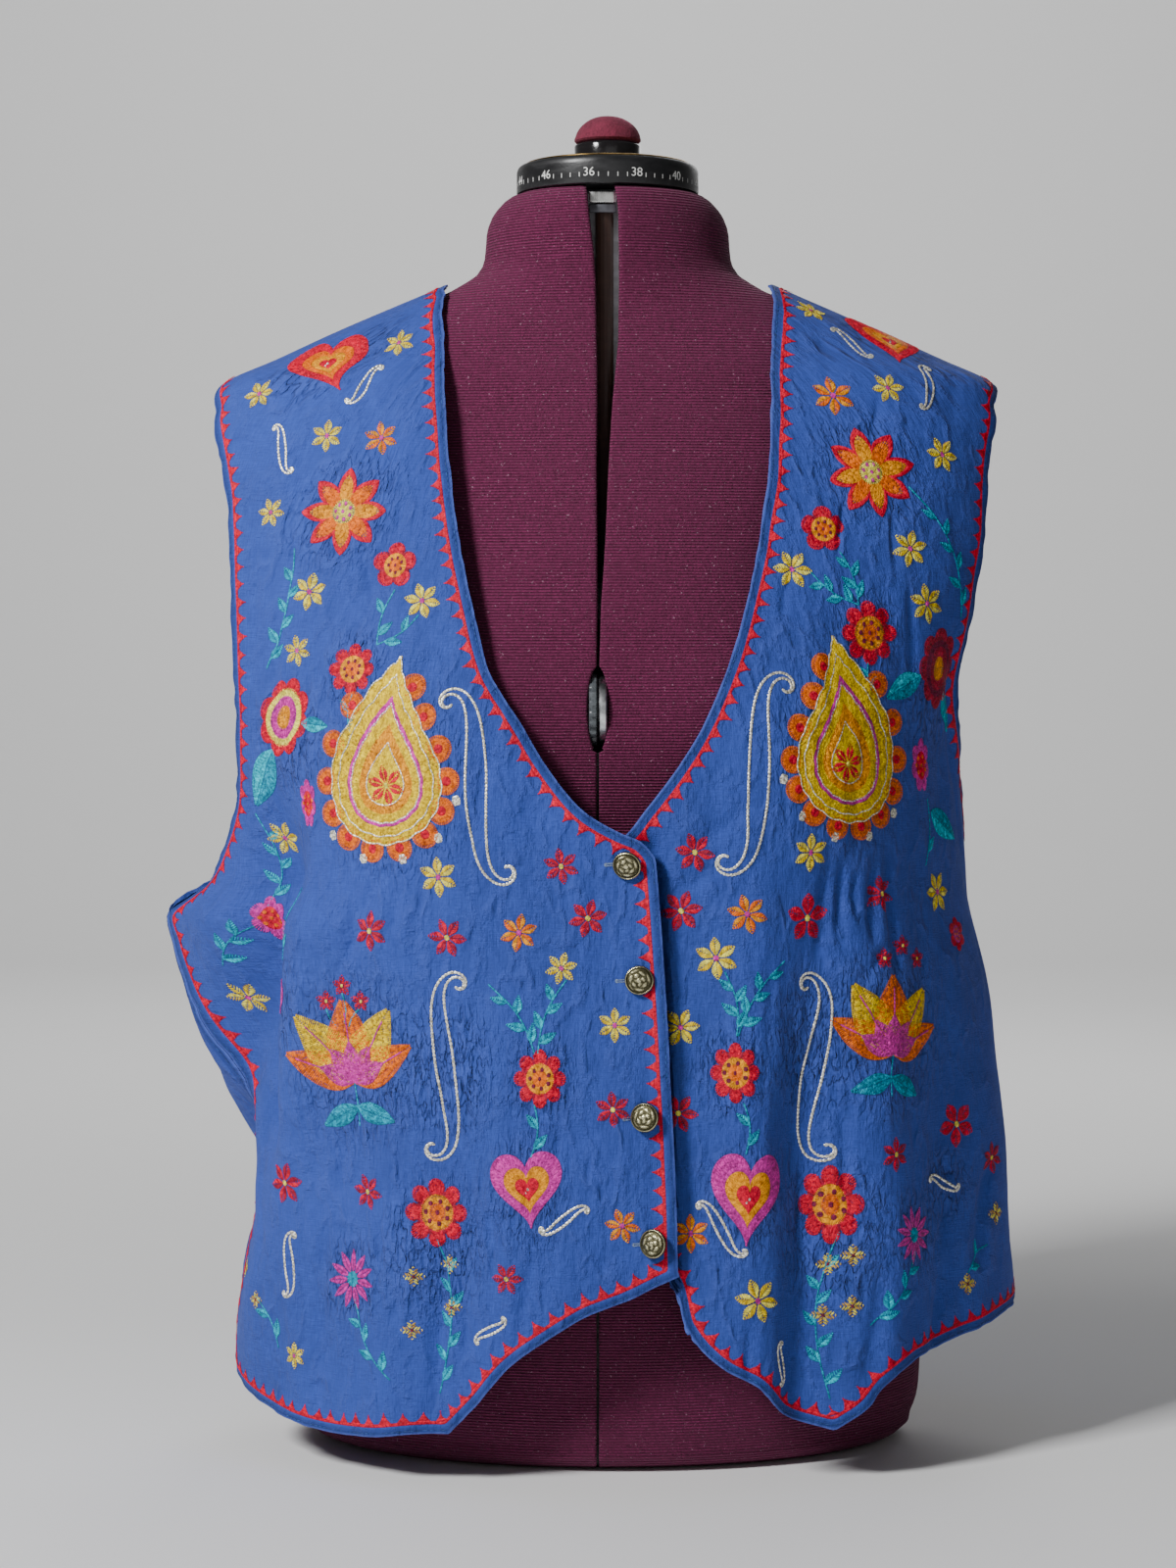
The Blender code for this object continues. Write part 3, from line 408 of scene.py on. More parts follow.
def settings(kind):
    return getattr(bpy.context.scene, "folk_vest_" + kind)


def finished(name, bm, materials, angle=40.0):
    """A named object from a bmesh, its faces outwards, smooth but for its sharp edges."""
    bmesh.ops.recalc_face_normals(bm, faces=bm.faces[:])
    if bm.calc_volume(signed=True) < 0.0:
        bmesh.ops.reverse_faces(bm, faces=bm.faces[:])
    mesh = bpy.data.meshes.new(name)
    bm.to_mesh(mesh)
    bm.free()
    piece = bpy.data.objects.new(name, mesh)
    bpy.context.scene.collection.objects.link(piece)
    mesh.shade_smooth()
    mesh.set_sharp_from_angle(angle=math.radians(angle))
    for material in materials:
        mesh.materials.append(material)
    return piece


def written(piece, name, kind, key, values):
    """Writes an attribute of the piece's points."""
    attribute = piece.data.attributes.new(name, kind, "POINT")
    attribute.data.foreach_set(key, np.asarray(values, dtype=np.float32).ravel())


def rider(piece, slot, *nodes):
    """The piece rides on the body and stands for the nodes; the slot is not used."""
    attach(piece, BODY)
    if nodes:
        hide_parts(*nodes)
    return piece


def revolved(bm, profile, steps):
    """A solid of revolution about Z from a profile of radius and height, from the foot to the top."""
    verts = [bm.verts.new((radius, 0.0, height)) for radius, height in profile]
    edges = [bm.edges.new(pair) for pair in zip(verts, verts[1:])]
    bmesh.ops.spin(
        bm, geom=verts + edges, cent=(0, 0, 0), axis=(0, 0, 1), angle=math.tau, steps=steps, use_merge=True
    )
    bmesh.ops.remove_doubles(bm, verts=bm.verts[:], dist=1e-6)


# Materials.


class Look:
    """A node material, built up a node at a time."""

    def __init__(self, name, colour, roughness, metallic=0.0, specular=0.5):
        self.made = bpy.data.materials.new(name)
        self.made.use_nodes = True
        self.tree = self.made.node_tree
        self.shader = self.tree.nodes["Principled BSDF"]
        self.shader.inputs["Base Color"].default_value = (*colour, 1.0)
        self.shader.inputs["Roughness"].default_value = roughness
        self.shader.inputs["Metallic"].default_value = metallic
        self.shader.inputs["Specular IOR Level"].default_value = specular

    def sheen(self, weight, roughness, tint=(1.0, 1.0, 1.0)):
        for key, value in (("Weight", weight), ("Roughness", roughness), ("Tint", (*tint, 1.0))):
            self.shader.inputs["Sheen " + key].default_value = value

    def node(self, kind, **values):
        made = self.tree.nodes.new(kind)
        for key, value in values.items():
            if key in made.inputs:
                made.inputs[key].default_value = value
            else:
                setattr(made, key, value)
        return made

    def link(self, source, target):
        self.tree.links.new(source, target)

    def object_place(self):
        return self.stretched(self.node("ShaderNodeTexCoord").outputs["Object"], (1.0, 1.0, 1.0))

    def attribute(self, name, output="Fac"):
        return self.node("ShaderNodeAttribute", attribute_name=name).outputs[output]

    def passed(self, source, kind, inlet, outlet, **values):
        """The outlet of a new node whose inlet takes the source."""
        made = self.node(kind, **values)
        self.link(source, made.inputs[inlet])
        return made.outputs[outlet]

    def stretched(self, source, stretch):
        return self.passed(source, "ShaderNodeMapping", "Vector", "Vector", Scale=stretch)

    def noise(self, place, scale, detail=2.0, roughness=0.5):
        kind = "ShaderNodeTexNoise"
        return self.passed(place, kind, "Vector", "Fac", Scale=scale, Detail=detail, Roughness=roughness)

    def grain(self, place, stretch, detail=2.0, roughness=0.5):
        """Noise drawn out or squeezed along each axis."""
        return self.noise(self.stretched(place, stretch), 1.0, detail, roughness)

    def ridges(self, place, width):
        """Thin branching lines, 1 on their crests and 0 between them."""
        level = self.maths("ABSOLUTE", self.maths("SUBTRACT", self.noise(place, 1.0, 2.0, 0.45), 0.5), 0.0)
        return self.span(level, 0.0, width, 1.0, 0.0)

    def wave(self, place, direction, scale, distortion=0.0):
        kind = "ShaderNodeTexWave"
        return self.passed(
            place, kind, "Vector", "Fac", bands_direction=direction, Scale=scale, Distortion=distortion
        )

    def span(self, source, low, high, to_low=0.0, to_high=1.0):
        limits = {"From Min": low, "From Max": high, "To Min": to_low, "To Max": to_high}
        return self.passed(source, "ShaderNodeMapRange", "Value", "Result", **limits)

    def feed(self, socket, value):
        """Sets the socket to a number or a colour, or links it to another socket."""
        if isinstance(value, (int, float)):
            socket.default_value = value
        elif isinstance(value, tuple):
            socket.default_value = (*value, 1.0)
        else:
            self.link(value, socket)

    def maths(self, operation, first, second):
        made = self.node("ShaderNodeMath", operation=operation)
        for socket, value in zip(made.inputs, (first, second)):
            self.feed(socket, value)
        return made.outputs["Value"]

    def mix(self, factor, first, second, blend="MIX"):
        made = self.node("ShaderNodeMix", data_type="RGBA", blend_type=blend)
        for number, value in ((0, factor), (6, first), (7, second)):
            self.feed(made.inputs[number], value)
        return made.outputs[2]

    def paint(self, colour):
        self.link(colour, self.shader.inputs["Base Color"])

    def roughen(self, roughness):
        self.link(roughness, self.shader.inputs["Roughness"])

    def bump(self, *layers):
        """Bumps laid on one another: each a height from 0 to 1 and its depth in metres."""
        normal = None
        for height, depth in layers:
            made = self.node("ShaderNodeBump", Distance=depth, Strength=1.0)
            self.link(height, made.inputs["Height"])
            if normal:
                self.link(normal, made.inputs["Normal"])
            normal = made.outputs["Normal"]
        self.link(normal, self.shader.inputs["Normal"])


def darker(colour, factor, more=0.0):
    """The colour times the factor, with a little more of every part, up to full."""
    return tuple(min(1.0, factor * part + more) for part in colour)


def made_once(make):
    """The material is made at its first use and found by its name after that."""

    def found():
        return bpy.data.materials.get(make.__name__) or make()

    return found


@made_once
def chambray():
    """Plain-woven blue cotton: uneven yarns, soft wrinkles with painted shade in their sunk lines, and a turned edge
    with a band of painted shade along it and a paler rim of painted highlight.
    """
    blue, s = tuple(settings("cloth").colour), settings("stitching")
    look = Look("chambray", blue, 0.86, specular=0.25)
    place = look.attribute("weave", "Vector")
    warp, weft = (look.grain(place, way, 2.0, 0.7) for way in ((1500.0, 120.0, 1.0), (120.0, 1500.0, 1.0)))
    yarns = look.maths("ADD", warp, weft)
    patches = look.noise(place, 42.0, 6.0, 0.70)
    worn = look.noise(place, 11.0, 3.0)
    shade = look.mix(look.span(yarns, 0.74, 1.26), darker(blue, 0.70), darker(blue, 1.30))
    shade = look.mix(look.span(patches, 0.35, 0.65, 0.0, 0.75), shade, darker(blue, 0.74))
    shade = look.mix(look.span(worn, 0.40, 0.68, 0.0, 0.40), shade, darker(blue, 1.30))
    rubbed = look.grain(place, (120.0, 70.0, 1.0), 4.0, 0.55)
    puckers = look.ridges(look.stretched(place, (150.0, 48.0, 1.0)), 0.16)
    gathered = look.attribute("drawn")
    puckers = look.maths("MULTIPLY", puckers, look.span(gathered, 0.05, 0.9))
    wrinkles = look.maths(
        "MULTIPLY", look.ridges(look.stretched(place, (52.0, 30.0, 1.0)), 0.09), look.span(patches, 0.42, 0.62)
    )
    sunk = look.ridges(look.stretched(place, (190.0, 90.0, 1.0)), 0.06)
    sunk = look.maths("MULTIPLY", sunk, look.span(gathered, 0.10, 0.85))
    # Painted shade: the sunk lines by the stitching are darkened in colour as well as sunk by the bump.
    shade = look.mix(look.span(sunk, 0.0, 1.0, 0.0, 0.72), shade, darker(blue, 0.34))
    raised = look.maths("ADD", puckers, wrinkles)
    shade = look.mix(look.span(raised, 0.0, 1.0, 0.0, 0.30), shade, darker(blue, 1.5, 0.02))
    away = look.attribute("edge")
    seam = look.maths("ABSOLUTE", look.maths("SUBTRACT", away, s.topstitch_inset), 0.0)
    shade = look.mix(look.span(seam, 0.0002, 0.0007, 0.75, 0.0), shade, darker(blue, 0.38))
    # Painted shade on the band of cloth within a few millimetres of the turned edge.
    shade = look.mix(look.span(away, 0.0034, 0.0046, 0.62, 0.0), shade, darker(blue, 0.50))
    # Painted highlight: the rolled rim of the edge is paler, as where light catches it.
    rim = look.span(away, 0.0, 0.0012, 0.55, 0.0)
    look.paint(look.mix(rim, shade, darker(blue, 1.7, 0.05)))
    flat = look.maths("SUBTRACT", 1.0, sunk)
    look.bump((rubbed, 0.0017), (puckers, 0.0014), (wrinkles, 0.0014), (flat, 0.0008), (yarns, 0.00040))
    look.sheen(0.03, 0.5)
    return look.made


@made_once
def embroidery_thread():
    """Embroidery thread, its colour from the stitches, with painted sheen in lighter and darker patches a few
    millimetres across.
    """
    look = Look("embroidery_thread", (0.5, 0.2, 0.2), 0.40, specular=0.22)
    place = look.object_place()
    # Painted sheen: patches lighter and darker than the thread stand in for the satin's uneven shine.
    painted_sheen_patches = look.span(look.noise(place, 400.0, 3.0, 0.65), 0.34, 0.62)
    uneven = look.mix(painted_sheen_patches, (0.62, 0.54, 0.60), (1.16, 1.16, 1.16))
    look.paint(look.mix(1.0, look.attribute("thread", "Color"), uneven, "MULTIPLY"))
    look.bump((look.noise(place, 800.0, 2.0, 0.6), 0.0009), (look.noise(place, 2600.0, 2.0, 0.7), 0.00016))
    return look.made


@made_once
def metal_thread():
    """Silver-gilt thread: foil wound on a core."""
    look = Look("metal_thread", (0.70, 0.68, 0.60), 0.34, 0.45)
    place = look.object_place()
    glint = look.noise(place, 950.0, 1.0)
    look.paint(look.mix(look.span(glint, 0.38, 0.62), (0.34, 0.32, 0.24), (1.0, 0.98, 0.88)))
    look.bump((glint, 0.0003))
    return look.made


@made_once
def jersey():
    """Maroon knit with fine ribs that run round the form, a little napped."""
    s = settings("form")
    wine = tuple(s.knit_colour)
    look = Look("jersey", wine, 0.92, specular=0.2)
    place = look.object_place()
    ribs = look.wave(place, "Z", math.tau / (20.0 * s.rib_pitch), 0.6)
    loops = look.noise(place, 1050.0, 2.0, 0.6)
    patches = look.noise(place, 30.0, 4.0, 0.6)
    lint = look.noise(place, 640.0, 2.0, 0.7)
    shade = look.mix(look.span(ribs, 0.15, 0.85), darker(wine, 0.42), darker(wine, 1.40))
    shade = look.mix(look.span(loops, 0.35, 0.65, 0.0, 0.62), shade, darker(wine, 0.42))
    shade = look.mix(look.span(patches, 0.35, 0.65, 0.0, 0.45), shade, darker(wine, 0.72))
    look.paint(look.mix(look.span(lint, 0.66, 0.74, 0.0, 0.50), shade, (0.55, 0.34, 0.44)))
    look.bump((ribs, 0.0008), (loops, 0.0006), (patches, 0.0008))
    look.sheen(0.16, 0.45, (0.60, 0.30, 0.42))
    return look.made


def velvet():
    """Wine-red velvet, brushed darker and paler."""
    wine = tuple(settings("form").velvet_colour)
    look = Look("knob_velvet", wine, 0.95)
    place = look.object_place()
    nap = look.noise(place, 900.0, 2.0)
    brushed = look.noise(place, 120.0, 3.0)
    shade = look.mix(look.span(nap, 0.3, 0.7), darker(wine, 0.6), darker(wine, 1.3))
    look.paint(look.mix(look.span(brushed, 0.4, 0.7, 0.0, 0.5), shade, darker(wine, 1.7)))
    look.bump((nap, 0.0005))
    look.sheen(0.30, 0.35, (0.80, 0.22, 0.36))
    return look.made


def moulded(name, colour, roughness, grain=900.0, depth=0.00006):
    """Moulded plastic, a little scuffed."""
    look = Look(name, colour, roughness)
    place = look.object_place()
    scuffs = look.grain(place, (60.0, 60.0, 240.0), 4.0, 0.6)
    look.roughen(look.span(scuffs, 0.3, 0.75, roughness * 0.8, min(1.0, roughness * 1.5)))
    look.paint(look.mix(look.span(scuffs, 0.45, 0.8), colour, darker(colour, 1.5, 0.004)))
    look.bump((look.noise(place, grain, 2.0), depth))
    return look.made


def plated(name, colour, roughness, grain=(40.0, 40.0, 900.0), dark=0.55):
    """Plated or brushed metal, uneven in its polish."""
    look = Look(name, colour, roughness, 1.0)
    place = look.object_place()
    brushed = look.grain(place, grain, 3.0, 0.6)
    dull = look.noise(place, 160.0, 3.0)
    look.roughen(look.span(brushed, 0.3, 0.7, roughness * 0.75, roughness * 1.4))
    look.paint(look.mix(look.span(dull, 0.35, 0.75), colour, darker(colour, dark)))
    look.bump((brushed, 0.00005))
    return look.made


@made_once
def old_brass_relief():
    """Antiqued brass: dark in its hollows, rubbed bright on its relief."""
    look = Look("old_brass_relief", (0.36, 0.33, 0.18), 0.36, 1.0)
    place = look.object_place()
    relief = look.attribute("relief")
    grain = look.noise(place, 1400.0, 3.0, 0.6)
    worn = look.maths("ADD", relief, look.span(grain, 0.3, 0.7, -0.25, 0.25))
    look.paint(look.mix(look.span(worn, 0.10, 0.85), (0.060, 0.055, 0.028), (0.66, 0.62, 0.38)))
    look.roughen(look.span(worn, 0.2, 0.8, 0.50, 0.24))
    look.bump((grain, 0.00022))
    return look.made


# Creases that the solids leave out: azimuth and height at the top, azimuth and height at the foot, how far out and
# half width in millimetres.
CREASES = (
    (-43.7, 0.3155, -50.0, 0.2636, -1.2, 4.0), (-46.9, 0.3126, -47.9, 0.2716, -0.8, 2.8),
    (-39.2, 0.3133, -39.7, 0.2852, -0.8, 2.6), (-58.7, 0.4886, -57.4, 0.4493, -0.8, 2.4),
    (-51.8, 0.4857, -49.3, 0.4636, -0.9, 2.2), (-64.3, 0.5022, -62.9, 0.4705, -0.6, 2.4),
    (-70.1, 0.4922, -66.9, 0.418, -0.8, 4.0), (-64.2, 0.4495, -62.4, 0.4023, -0.7, 3.4),
    (-34.9, 0.3136, -36.7, 0.265, -0.8, 3.6), (-33.0, 0.1261, -35.3, 0.0315, -1.6, 5.0),
    (-30.2, 0.1112, -27.6, 0.0558, -1.0, 4.0), (-38.0, 0.136, -40.1, 0.0694, 0.8, 4.4),
    (-5.3, 0.1709, -0.1, 0.1531, -0.7, 2.2), (2.0, 0.3236, -12.0, 0.3358, -0.5, 3.6),
    (3.6, 0.2627, -6.3, 0.2698, -0.6, 3.2), (4.8, 0.1917, -6.2, 0.1846, -0.6, 3.0),
    (6.5, 0.1279, -4.2, 0.1158, -0.5, 3.4), (-72.3, 0.3116, -64.1, 0.2604, -1.0, 4.2),
    (-15.6, 0.1188, -19.2, 0.063, -0.8, 4.6), (-23.8, 0.143, -22.5, 0.0977, -0.6, 3.4),
    (-57.5, 0.1362, -57.0, 0.0325, -1.1, 5.4), (-44.0, 0.1608, -44.8, 0.1093, -0.7, 3.6),
    (-65.3, 0.1335, -62.7, 0.0506, 0.9, 6.0), (-75.1, 0.1609, -71.1, 0.0887, -1.0, 4.6),
    (-84.0, 0.61, -71.5, 0.551, -0.7, 4.4), (-73.5, 0.6176, -51.7, 0.5332, -0.7, 4.0),
    (-51.3, 0.1851, -54.3, 0.1371, -0.8, 3.2), (-41.6, 0.1872, -40.8, 0.1562, -0.6, 2.6),
    (-32.2, 0.301, -31.6, 0.2653, -0.5, 2.8), (-20.3, 0.418, -28.1, 0.3164, -0.6, 4.2),
    (-4.3, 0.2607, -7.2, 0.144, 0.5, 6.0), (-11.0, 0.1999, -10.1, 0.1694, -0.4, 2.6),
    (44.7, 0.3254, 45.6, 0.2816, -1.6, 3.4), (51.6, 0.3248, 51.4, 0.2809, -1.6, 3.4),
    (47.8, 0.3189, 48.3, 0.2916, -1.3, 2.6), (55.4, 0.3306, 55.6, 0.2621, -1.3, 4.0),
    (26.9, 0.3519, 15.2, 0.3327, -1.1, 6.0), (22.6, 0.3265, 13.4, 0.3139, -0.7, 4.6),
    (65.5, 0.5746, 61.7, 0.5489, -0.9, 2.2), (53.3, 0.5163, 50.3, 0.4878, -0.9, 2.2),
    (61.5, 0.5137, 59.1, 0.4693, -0.8, 2.6), (62.0, 0.4705, 61.4, 0.4154, -0.8, 3.2),
    (71.4, 0.4446, 81.6, 0.3097, -1.6, 6.0), (88.0, 0.3087, 81.9, 0.2502, -1.5, 6.0),
    (54.0, 0.283, 48.4, 0.2607, -0.8, 2.8), (66.5, 0.1386, 63.6, 0.1073, -1.0, 3.6),
    (75.6, 0.1614, 71.7, 0.0969, -1.8, 5.4), (15.2, 0.1134, 19.1, 0.0617, -0.6, 3.8),
    (27.6, 0.0876, 25.7, 0.0423, -0.9, 4.0), (51.2, 0.1136, 47.7, 0.0451, -1.5, 5.6),
    (64.9, 0.1078, 61.4, 0.0598, -1.0, 4.4), (42.0, 0.4906, 36.6, 0.4489, -0.6, 3.0),
    (42.1, 0.3256, 41.7, 0.2638, -1.2, 4.2), (39.8, 0.171, 38.6, 0.1097, -1.0, 3.8),
    (46.3, 0.2017, 45.3, 0.1401, -1.3, 4.0), (31.7, 0.2651, 28.8, 0.1992, -0.5, 4.2),
    (56.5, 0.2049, 59.8, 0.1414, -0.8, 4.0), (22.7, 0.2655, 21.7, 0.2147, -0.4, 3.0),
    (84.0, 0.61, 73.5, 0.5564, -0.6, 3.8), (70.8, 0.6172, 58.1, 0.5767, -0.6, 3.4),
    (88.0, 0.22, 90.0, 0.105, -1.4, 7.0), (104.0, 0.34, 108.0, 0.15, -2.4, 8.0), (113.0, 0.26, 116.0, 0.07, 2.1, 8.0),
    (121.0, 0.52, 132.0, 0.39, -1.8, 6.0), (126.0, 0.29, 124.0, 0.13, -2.0, 6.5),
    (138.0, 0.56, 150.0, 0.43, -1.5, 7.0), (143.0, 0.33, 146.0, 0.19, 1.8, 7.5), (149.0, 0.17, 146.0, 0.07, -2.1, 6.0),
    (162.0, 0.5, 160.0, 0.36, -1.4, 7.0), (166.0, 0.25, 171.0, 0.08, -2.0, 8.0), (174.0, 0.59, 186.0, 0.57, -1.2, 5.0),
    (178.0, 0.43, 183.0, 0.29, 1.4, 8.0), (189.0, 0.31, 191.0, 0.13, -2.2, 7.0), (197.0, 0.51, 204.0, 0.37, -1.5, 6.5),
    (212.0, 0.3, 209.0, 0.11, -1.8, 7.0), (219.0, 0.55, 228.0, 0.42, -1.7, 6.0), (222.0, 0.19, 226.0, 0.075, 1.8, 6.0),
    (236.0, 0.51, 232.0, 0.35, -1.4, 6.5), (239.0, 0.33, 243.0, 0.14, -2.2, 7.5), (252.0, 0.36, 249.0, 0.21, 1.8, 7.0),
    (257.0, 0.24, 254.0, 0.09, -2.4, 6.5), (268.0, 0.27, 262.0, 0.12, -1.8, 6.5),
)
EDGE_ROLL = 0.0030
CLOSING_GAP = 0.0100
CREASE_ONSET = 0.25
CREASE_DYING = 0.60
FLAT_TURN = 0.0037

# Places where the stitching draws the cloth together: azimuth, height, reach in metres.
DRAWN = (
    (-57.2, 0.5112, 0.038), (-40.4, 0.3669, 0.06), (-47.7, 0.2224, 0.055), (-16.1, 0.1567, 0.036),
    (-34.3, 0.125, 0.044), (-13.7, 0.2146, 0.03), (-50.5, 0.1048, 0.03), (-63.0, 0.25, 0.034), (-49.1, 0.4268, 0.026),
    (-60.0, 0.39, 0.032), (-72.5, 0.5938, 0.03), (-32.2, 0.2192, 0.045), (59.3, 0.5327, 0.038), (45.7, 0.3794, 0.06),
    (53.0, 0.2342, 0.055), (27.0, 0.151, 0.036), (43.5, 0.13, 0.044), (24.5, 0.2172, 0.03), (57.3, 0.1268, 0.03),
    (53.1, 0.4461, 0.03), (67.0, 0.41, 0.034), (41.4, 0.2303, 0.045), (80.0, 0.61, 0.03), (66.0, 0.1509, 0.024),
)


def mottled(x, y, seed):
    """A soft uneven pattern from -1 to 1, whose patches are one unit across."""
    table = np.random.default_rng(seed).uniform(-1.0, 1.0, (64, 64))
    i, j = np.floor(x).astype(int), np.floor(y).astype(int)
    s, t = x - i, y - j
    s, t = s * s * (3.0 - 2.0 * s), t * t * (3.0 - 2.0 * t)
    a, b, c, d = (table[(i + m) % 64, (j + n) % 64] for m, n in ((0, 0), (1, 0), (0, 1), (1, 1)))
    return (1.0 - t) * ((1.0 - s) * a + s * b) + t * ((1.0 - s) * c + s * d)


def drawn(azimuth, height):
    """How much the stitching draws the cloth together, from 0 to 1."""
    most = np.zeros(np.shape(azimuth))
    for middle, level, reach in DRAWN:
        x, y = turned_by(azimuth - middle) * FLAT_TURN, height - level
        most = np.maximum(most, np.exp(-((x * x + y * y) / (0.84 * reach) ** 2) ** 1.5))
    return most


def creased(azimuth, height):
    """How far out the creases and the puckers hold the cloth."""
    total = np.zeros(np.shape(azimuth))
    for number, (top_turn, top, foot_turn, foot, out, width) in enumerate(CREASES):
        x, y = turned_by(azimuth - top_turn) * FLAT_TURN, height - top
        run, fall = (foot_turn - top_turn) * FLAT_TURN, foot - top
        length = math.hypot(run, fall)
        along = (x * run + y * fall) / length**2
        across = (x * fall - y * run) / length + 0.0012 * np.sin(5.0 * along + number)
        strength = eased(-0.15, CREASE_ONSET, along) * (1.0 - eased(CREASE_DYING, 1.15, along))
        total = total + 0.001 * out * strength * np.exp(-((across / (0.001 * width)) ** 2))
    x = azimuth * FLAT_TURN
    total = total + 0.00060 * mottled(x / 0.026, height / 0.060, 1) + 0.00030 * mottled(x / 0.011, height / 0.024, 2)
    pulled = mottled(x / 0.0066 + 0.5 * mottled(x / 0.02, height / 0.02, 4), height / 0.019, 3)
    return total + 0.00036 * drawn(azimuth, height) * pulled


def closing_lift(azimuth, height, side):
    """How far the cloth stands out by the closing: the right front out, the left front in."""
    across = on_vest(azimuth, height)[..., 0]
    middle = through(column(RIGHT_CLOSING, 1), column(RIGHT_CLOSING, 0), height) - 0.013
    away = np.abs(across - middle)
    near = (1.0 - eased(0.020, 0.062, away)) * (1.0 - eased(0.345, 0.400, height))
    if side > 0:
        rolled = eased(0.001, 0.014, across - middle) * (1.0 - eased(0.335, 0.372, height))
        return OVERLAP_LIFT * near + EDGE_ROLL * rolled
    past_edge = across - middle - 0.013
    width = 0.0018 + 0.0042 * eased(0.16, 0.28, height)
    gap = eased(-0.030, -0.012, past_edge) * (1.0 - eased(0.0005, width, past_edge))
    gap = gap * eased(0.080, 0.120, height) * (1.0 - eased(0.322, 0.345, height))
    beyond = across - middle
    dip = eased(0.006, 0.016, beyond) * (1.0 - eased(0.022, 0.050, beyond))
    dip = dip * eased(0.105, 0.150, height) * (1.0 - eased(0.300, 0.345, height))
    return -UNDERLAP_DROP * near - UNDERLAP_DIP * dip - CLOSING_GAP * gap


def on_cloth(azimuth, height, side, lift=0.0):
    """Points of a panel's outer face: side is 1 for the right front, -1 for the left front and 0 for the back."""
    radius = vest_radius(azimuth, height) + settings("cloth").crease_depth * creased(azimuth, height) + lift
    if side:
        radius = radius + closing_lift(azimuth, height, side)
    return at_radius(azimuth, height, radius)


def cloth_frame(azimuth, height, side):
    """Points of a panel's outer face with the cloth's outward direction at each."""
    step_turn, step_up = 0.25, 0.0009
    here = on_cloth(azimuth, height, side)
    along = on_cloth(azimuth + step_turn, height, side) - here
    up = here - on_cloth(azimuth, height - step_up, side)
    normal = np.cross(along, up)
    return here, normal / np.linalg.norm(normal, axis=-1, keepdims=True)


def ground(azimuth, height):
    """On the unfolded wrap: the way round for a degree, and the way up and its sideways part for a metre."""
    _, along, up = ways(azimuth, np.minimum(height, SHOULDER_POINT - STEP_UP))
    round_way = np.linalg.norm(along, axis=-1)
    sideways = (up * along).sum(-1) / round_way
    upward = np.sqrt(np.maximum((up * up).sum(-1) - sideways**2, 1e-9))
    return round_way, upward, sideways


def shifted(azimuth, height, x, y):
    """The place that lies x metres round and y metres up along the cloth."""
    round_way, upward, sideways = ground(azimuth, height)
    rise = y / upward
    return azimuth + (x - rise * sideways) / round_way, on_wrap(height + rise)


# Panels: an even grid of places on the wrap inside the panel's seams and edges, then spaced anew by its edges.


FRONT_LINES = {  # closing, neckline, hem to its point, hem to the side, side seam, armhole, steps to the side
    1: (RIGHT_CLOSING, RIGHT_NECKLINE, RIGHT_HEM_TO_POINT, RIGHT_HEM_TO_SIDE, RIGHT_SIDE_SEAM, RIGHT_ARMHOLE_FRONT, 19),
    -1: (LEFT_CLOSING, LEFT_NECKLINE, LEFT_HEM_TO_POINT, LEFT_HEM_TO_SIDE, LEFT_SIDE_SEAM, LEFT_ARMHOLE_FRONT, 16),
}
SEAM_STEPS = 12


def front_edges(side, fine):
    """The foot, the top, the closing with the neckline and the side seam with the armhole of one front."""
    closing, neckline, hem_to_point, hem_to_side, side_seam, armhole, across = FRONT_LINES[side]
    ridge, gap = -90.0 * side, side * SEAM_GAP / 2
    neckline = joined_to(dense(neckline, True), (ridge, SHOULDER_POINT))
    armhole = joined_to(dense(armhole), (ridge, SHOULDER_TIP))
    first = edge((dense(closing, True), SEAM_STEPS * fine), (neckline, 16 * fine))
    last = edge((dense(side_seam), SEAM_STEPS * fine), (armhole, 16 * fine))
    foot = edge((dense(hem_to_point), 10 * fine), (dense(hem_to_side), across * fine))
    first[0], last[0] = foot[0], foot[-1]
    seam = SEAM_STEPS * fine + 1
    last[:seam] = moved_round(last[:seam], gap)
    top = moved_round(spaced(shoulder_seam(ridge), (10 + across) * fine), gap)
    first[-1], last[-1], foot[-1] = top[0], top[-1], last[0]
    return foot, top, first, last


def back_edges(fine):
    """The same four edges of the back, from the wearer's right side round to the left."""
    near_armhole = joined_to(dense(RIGHT_ARMHOLE_BACK), (-90.0, SHOULDER_TIP))
    seam_turned, armhole_turned = (np.array(line) - (360.0, 0.0) for line in (LEFT_SIDE_SEAM, LEFT_ARMHOLE_BACK))
    far_armhole = joined_to(dense(armhole_turned), (-270.0, SHOULDER_TIP))
    first = edge((dense(RIGHT_SIDE_SEAM), SEAM_STEPS * fine), (near_armhole, 11 * fine))
    last = edge((dense(seam_turned), SEAM_STEPS * fine), (far_armhole, 11 * fine))
    shoulder = 7 * fine
    top = edge(
        (shoulder_seam(-90.0)[::-1], shoulder), (dense(BACK_NECKLINE), 12 * fine), (shoulder_seam(-270.0), shoulder)
    )
    foot = spaced(dense(BACK_HEM), 26 * fine)
    seam = SEAM_STEPS * fine + 1
    first[:seam] = moved_round(first[:seam], -SEAM_GAP / 2)
    last[:seam] = moved_round(last[:seam], SEAM_GAP / 2)
    top[: shoulder + 1] = moved_round(top[: shoulder + 1], -SEAM_GAP / 2)
    top[-shoulder - 1 :] = moved_round(top[-shoulder - 1 :], SEAM_GAP / 2)
    foot[0], foot[-1] = first[0], last[0]
    first[-1], last[-1] = top[0], top[-1]
    return foot, top, first, last


EDGE_RIPPLE = 0.0007
EDGE_STEPS = np.array((0.0, 0.0005, 0.0011, 0.0018, 0.0026, 0.0036, 0.0046, 0.0066))


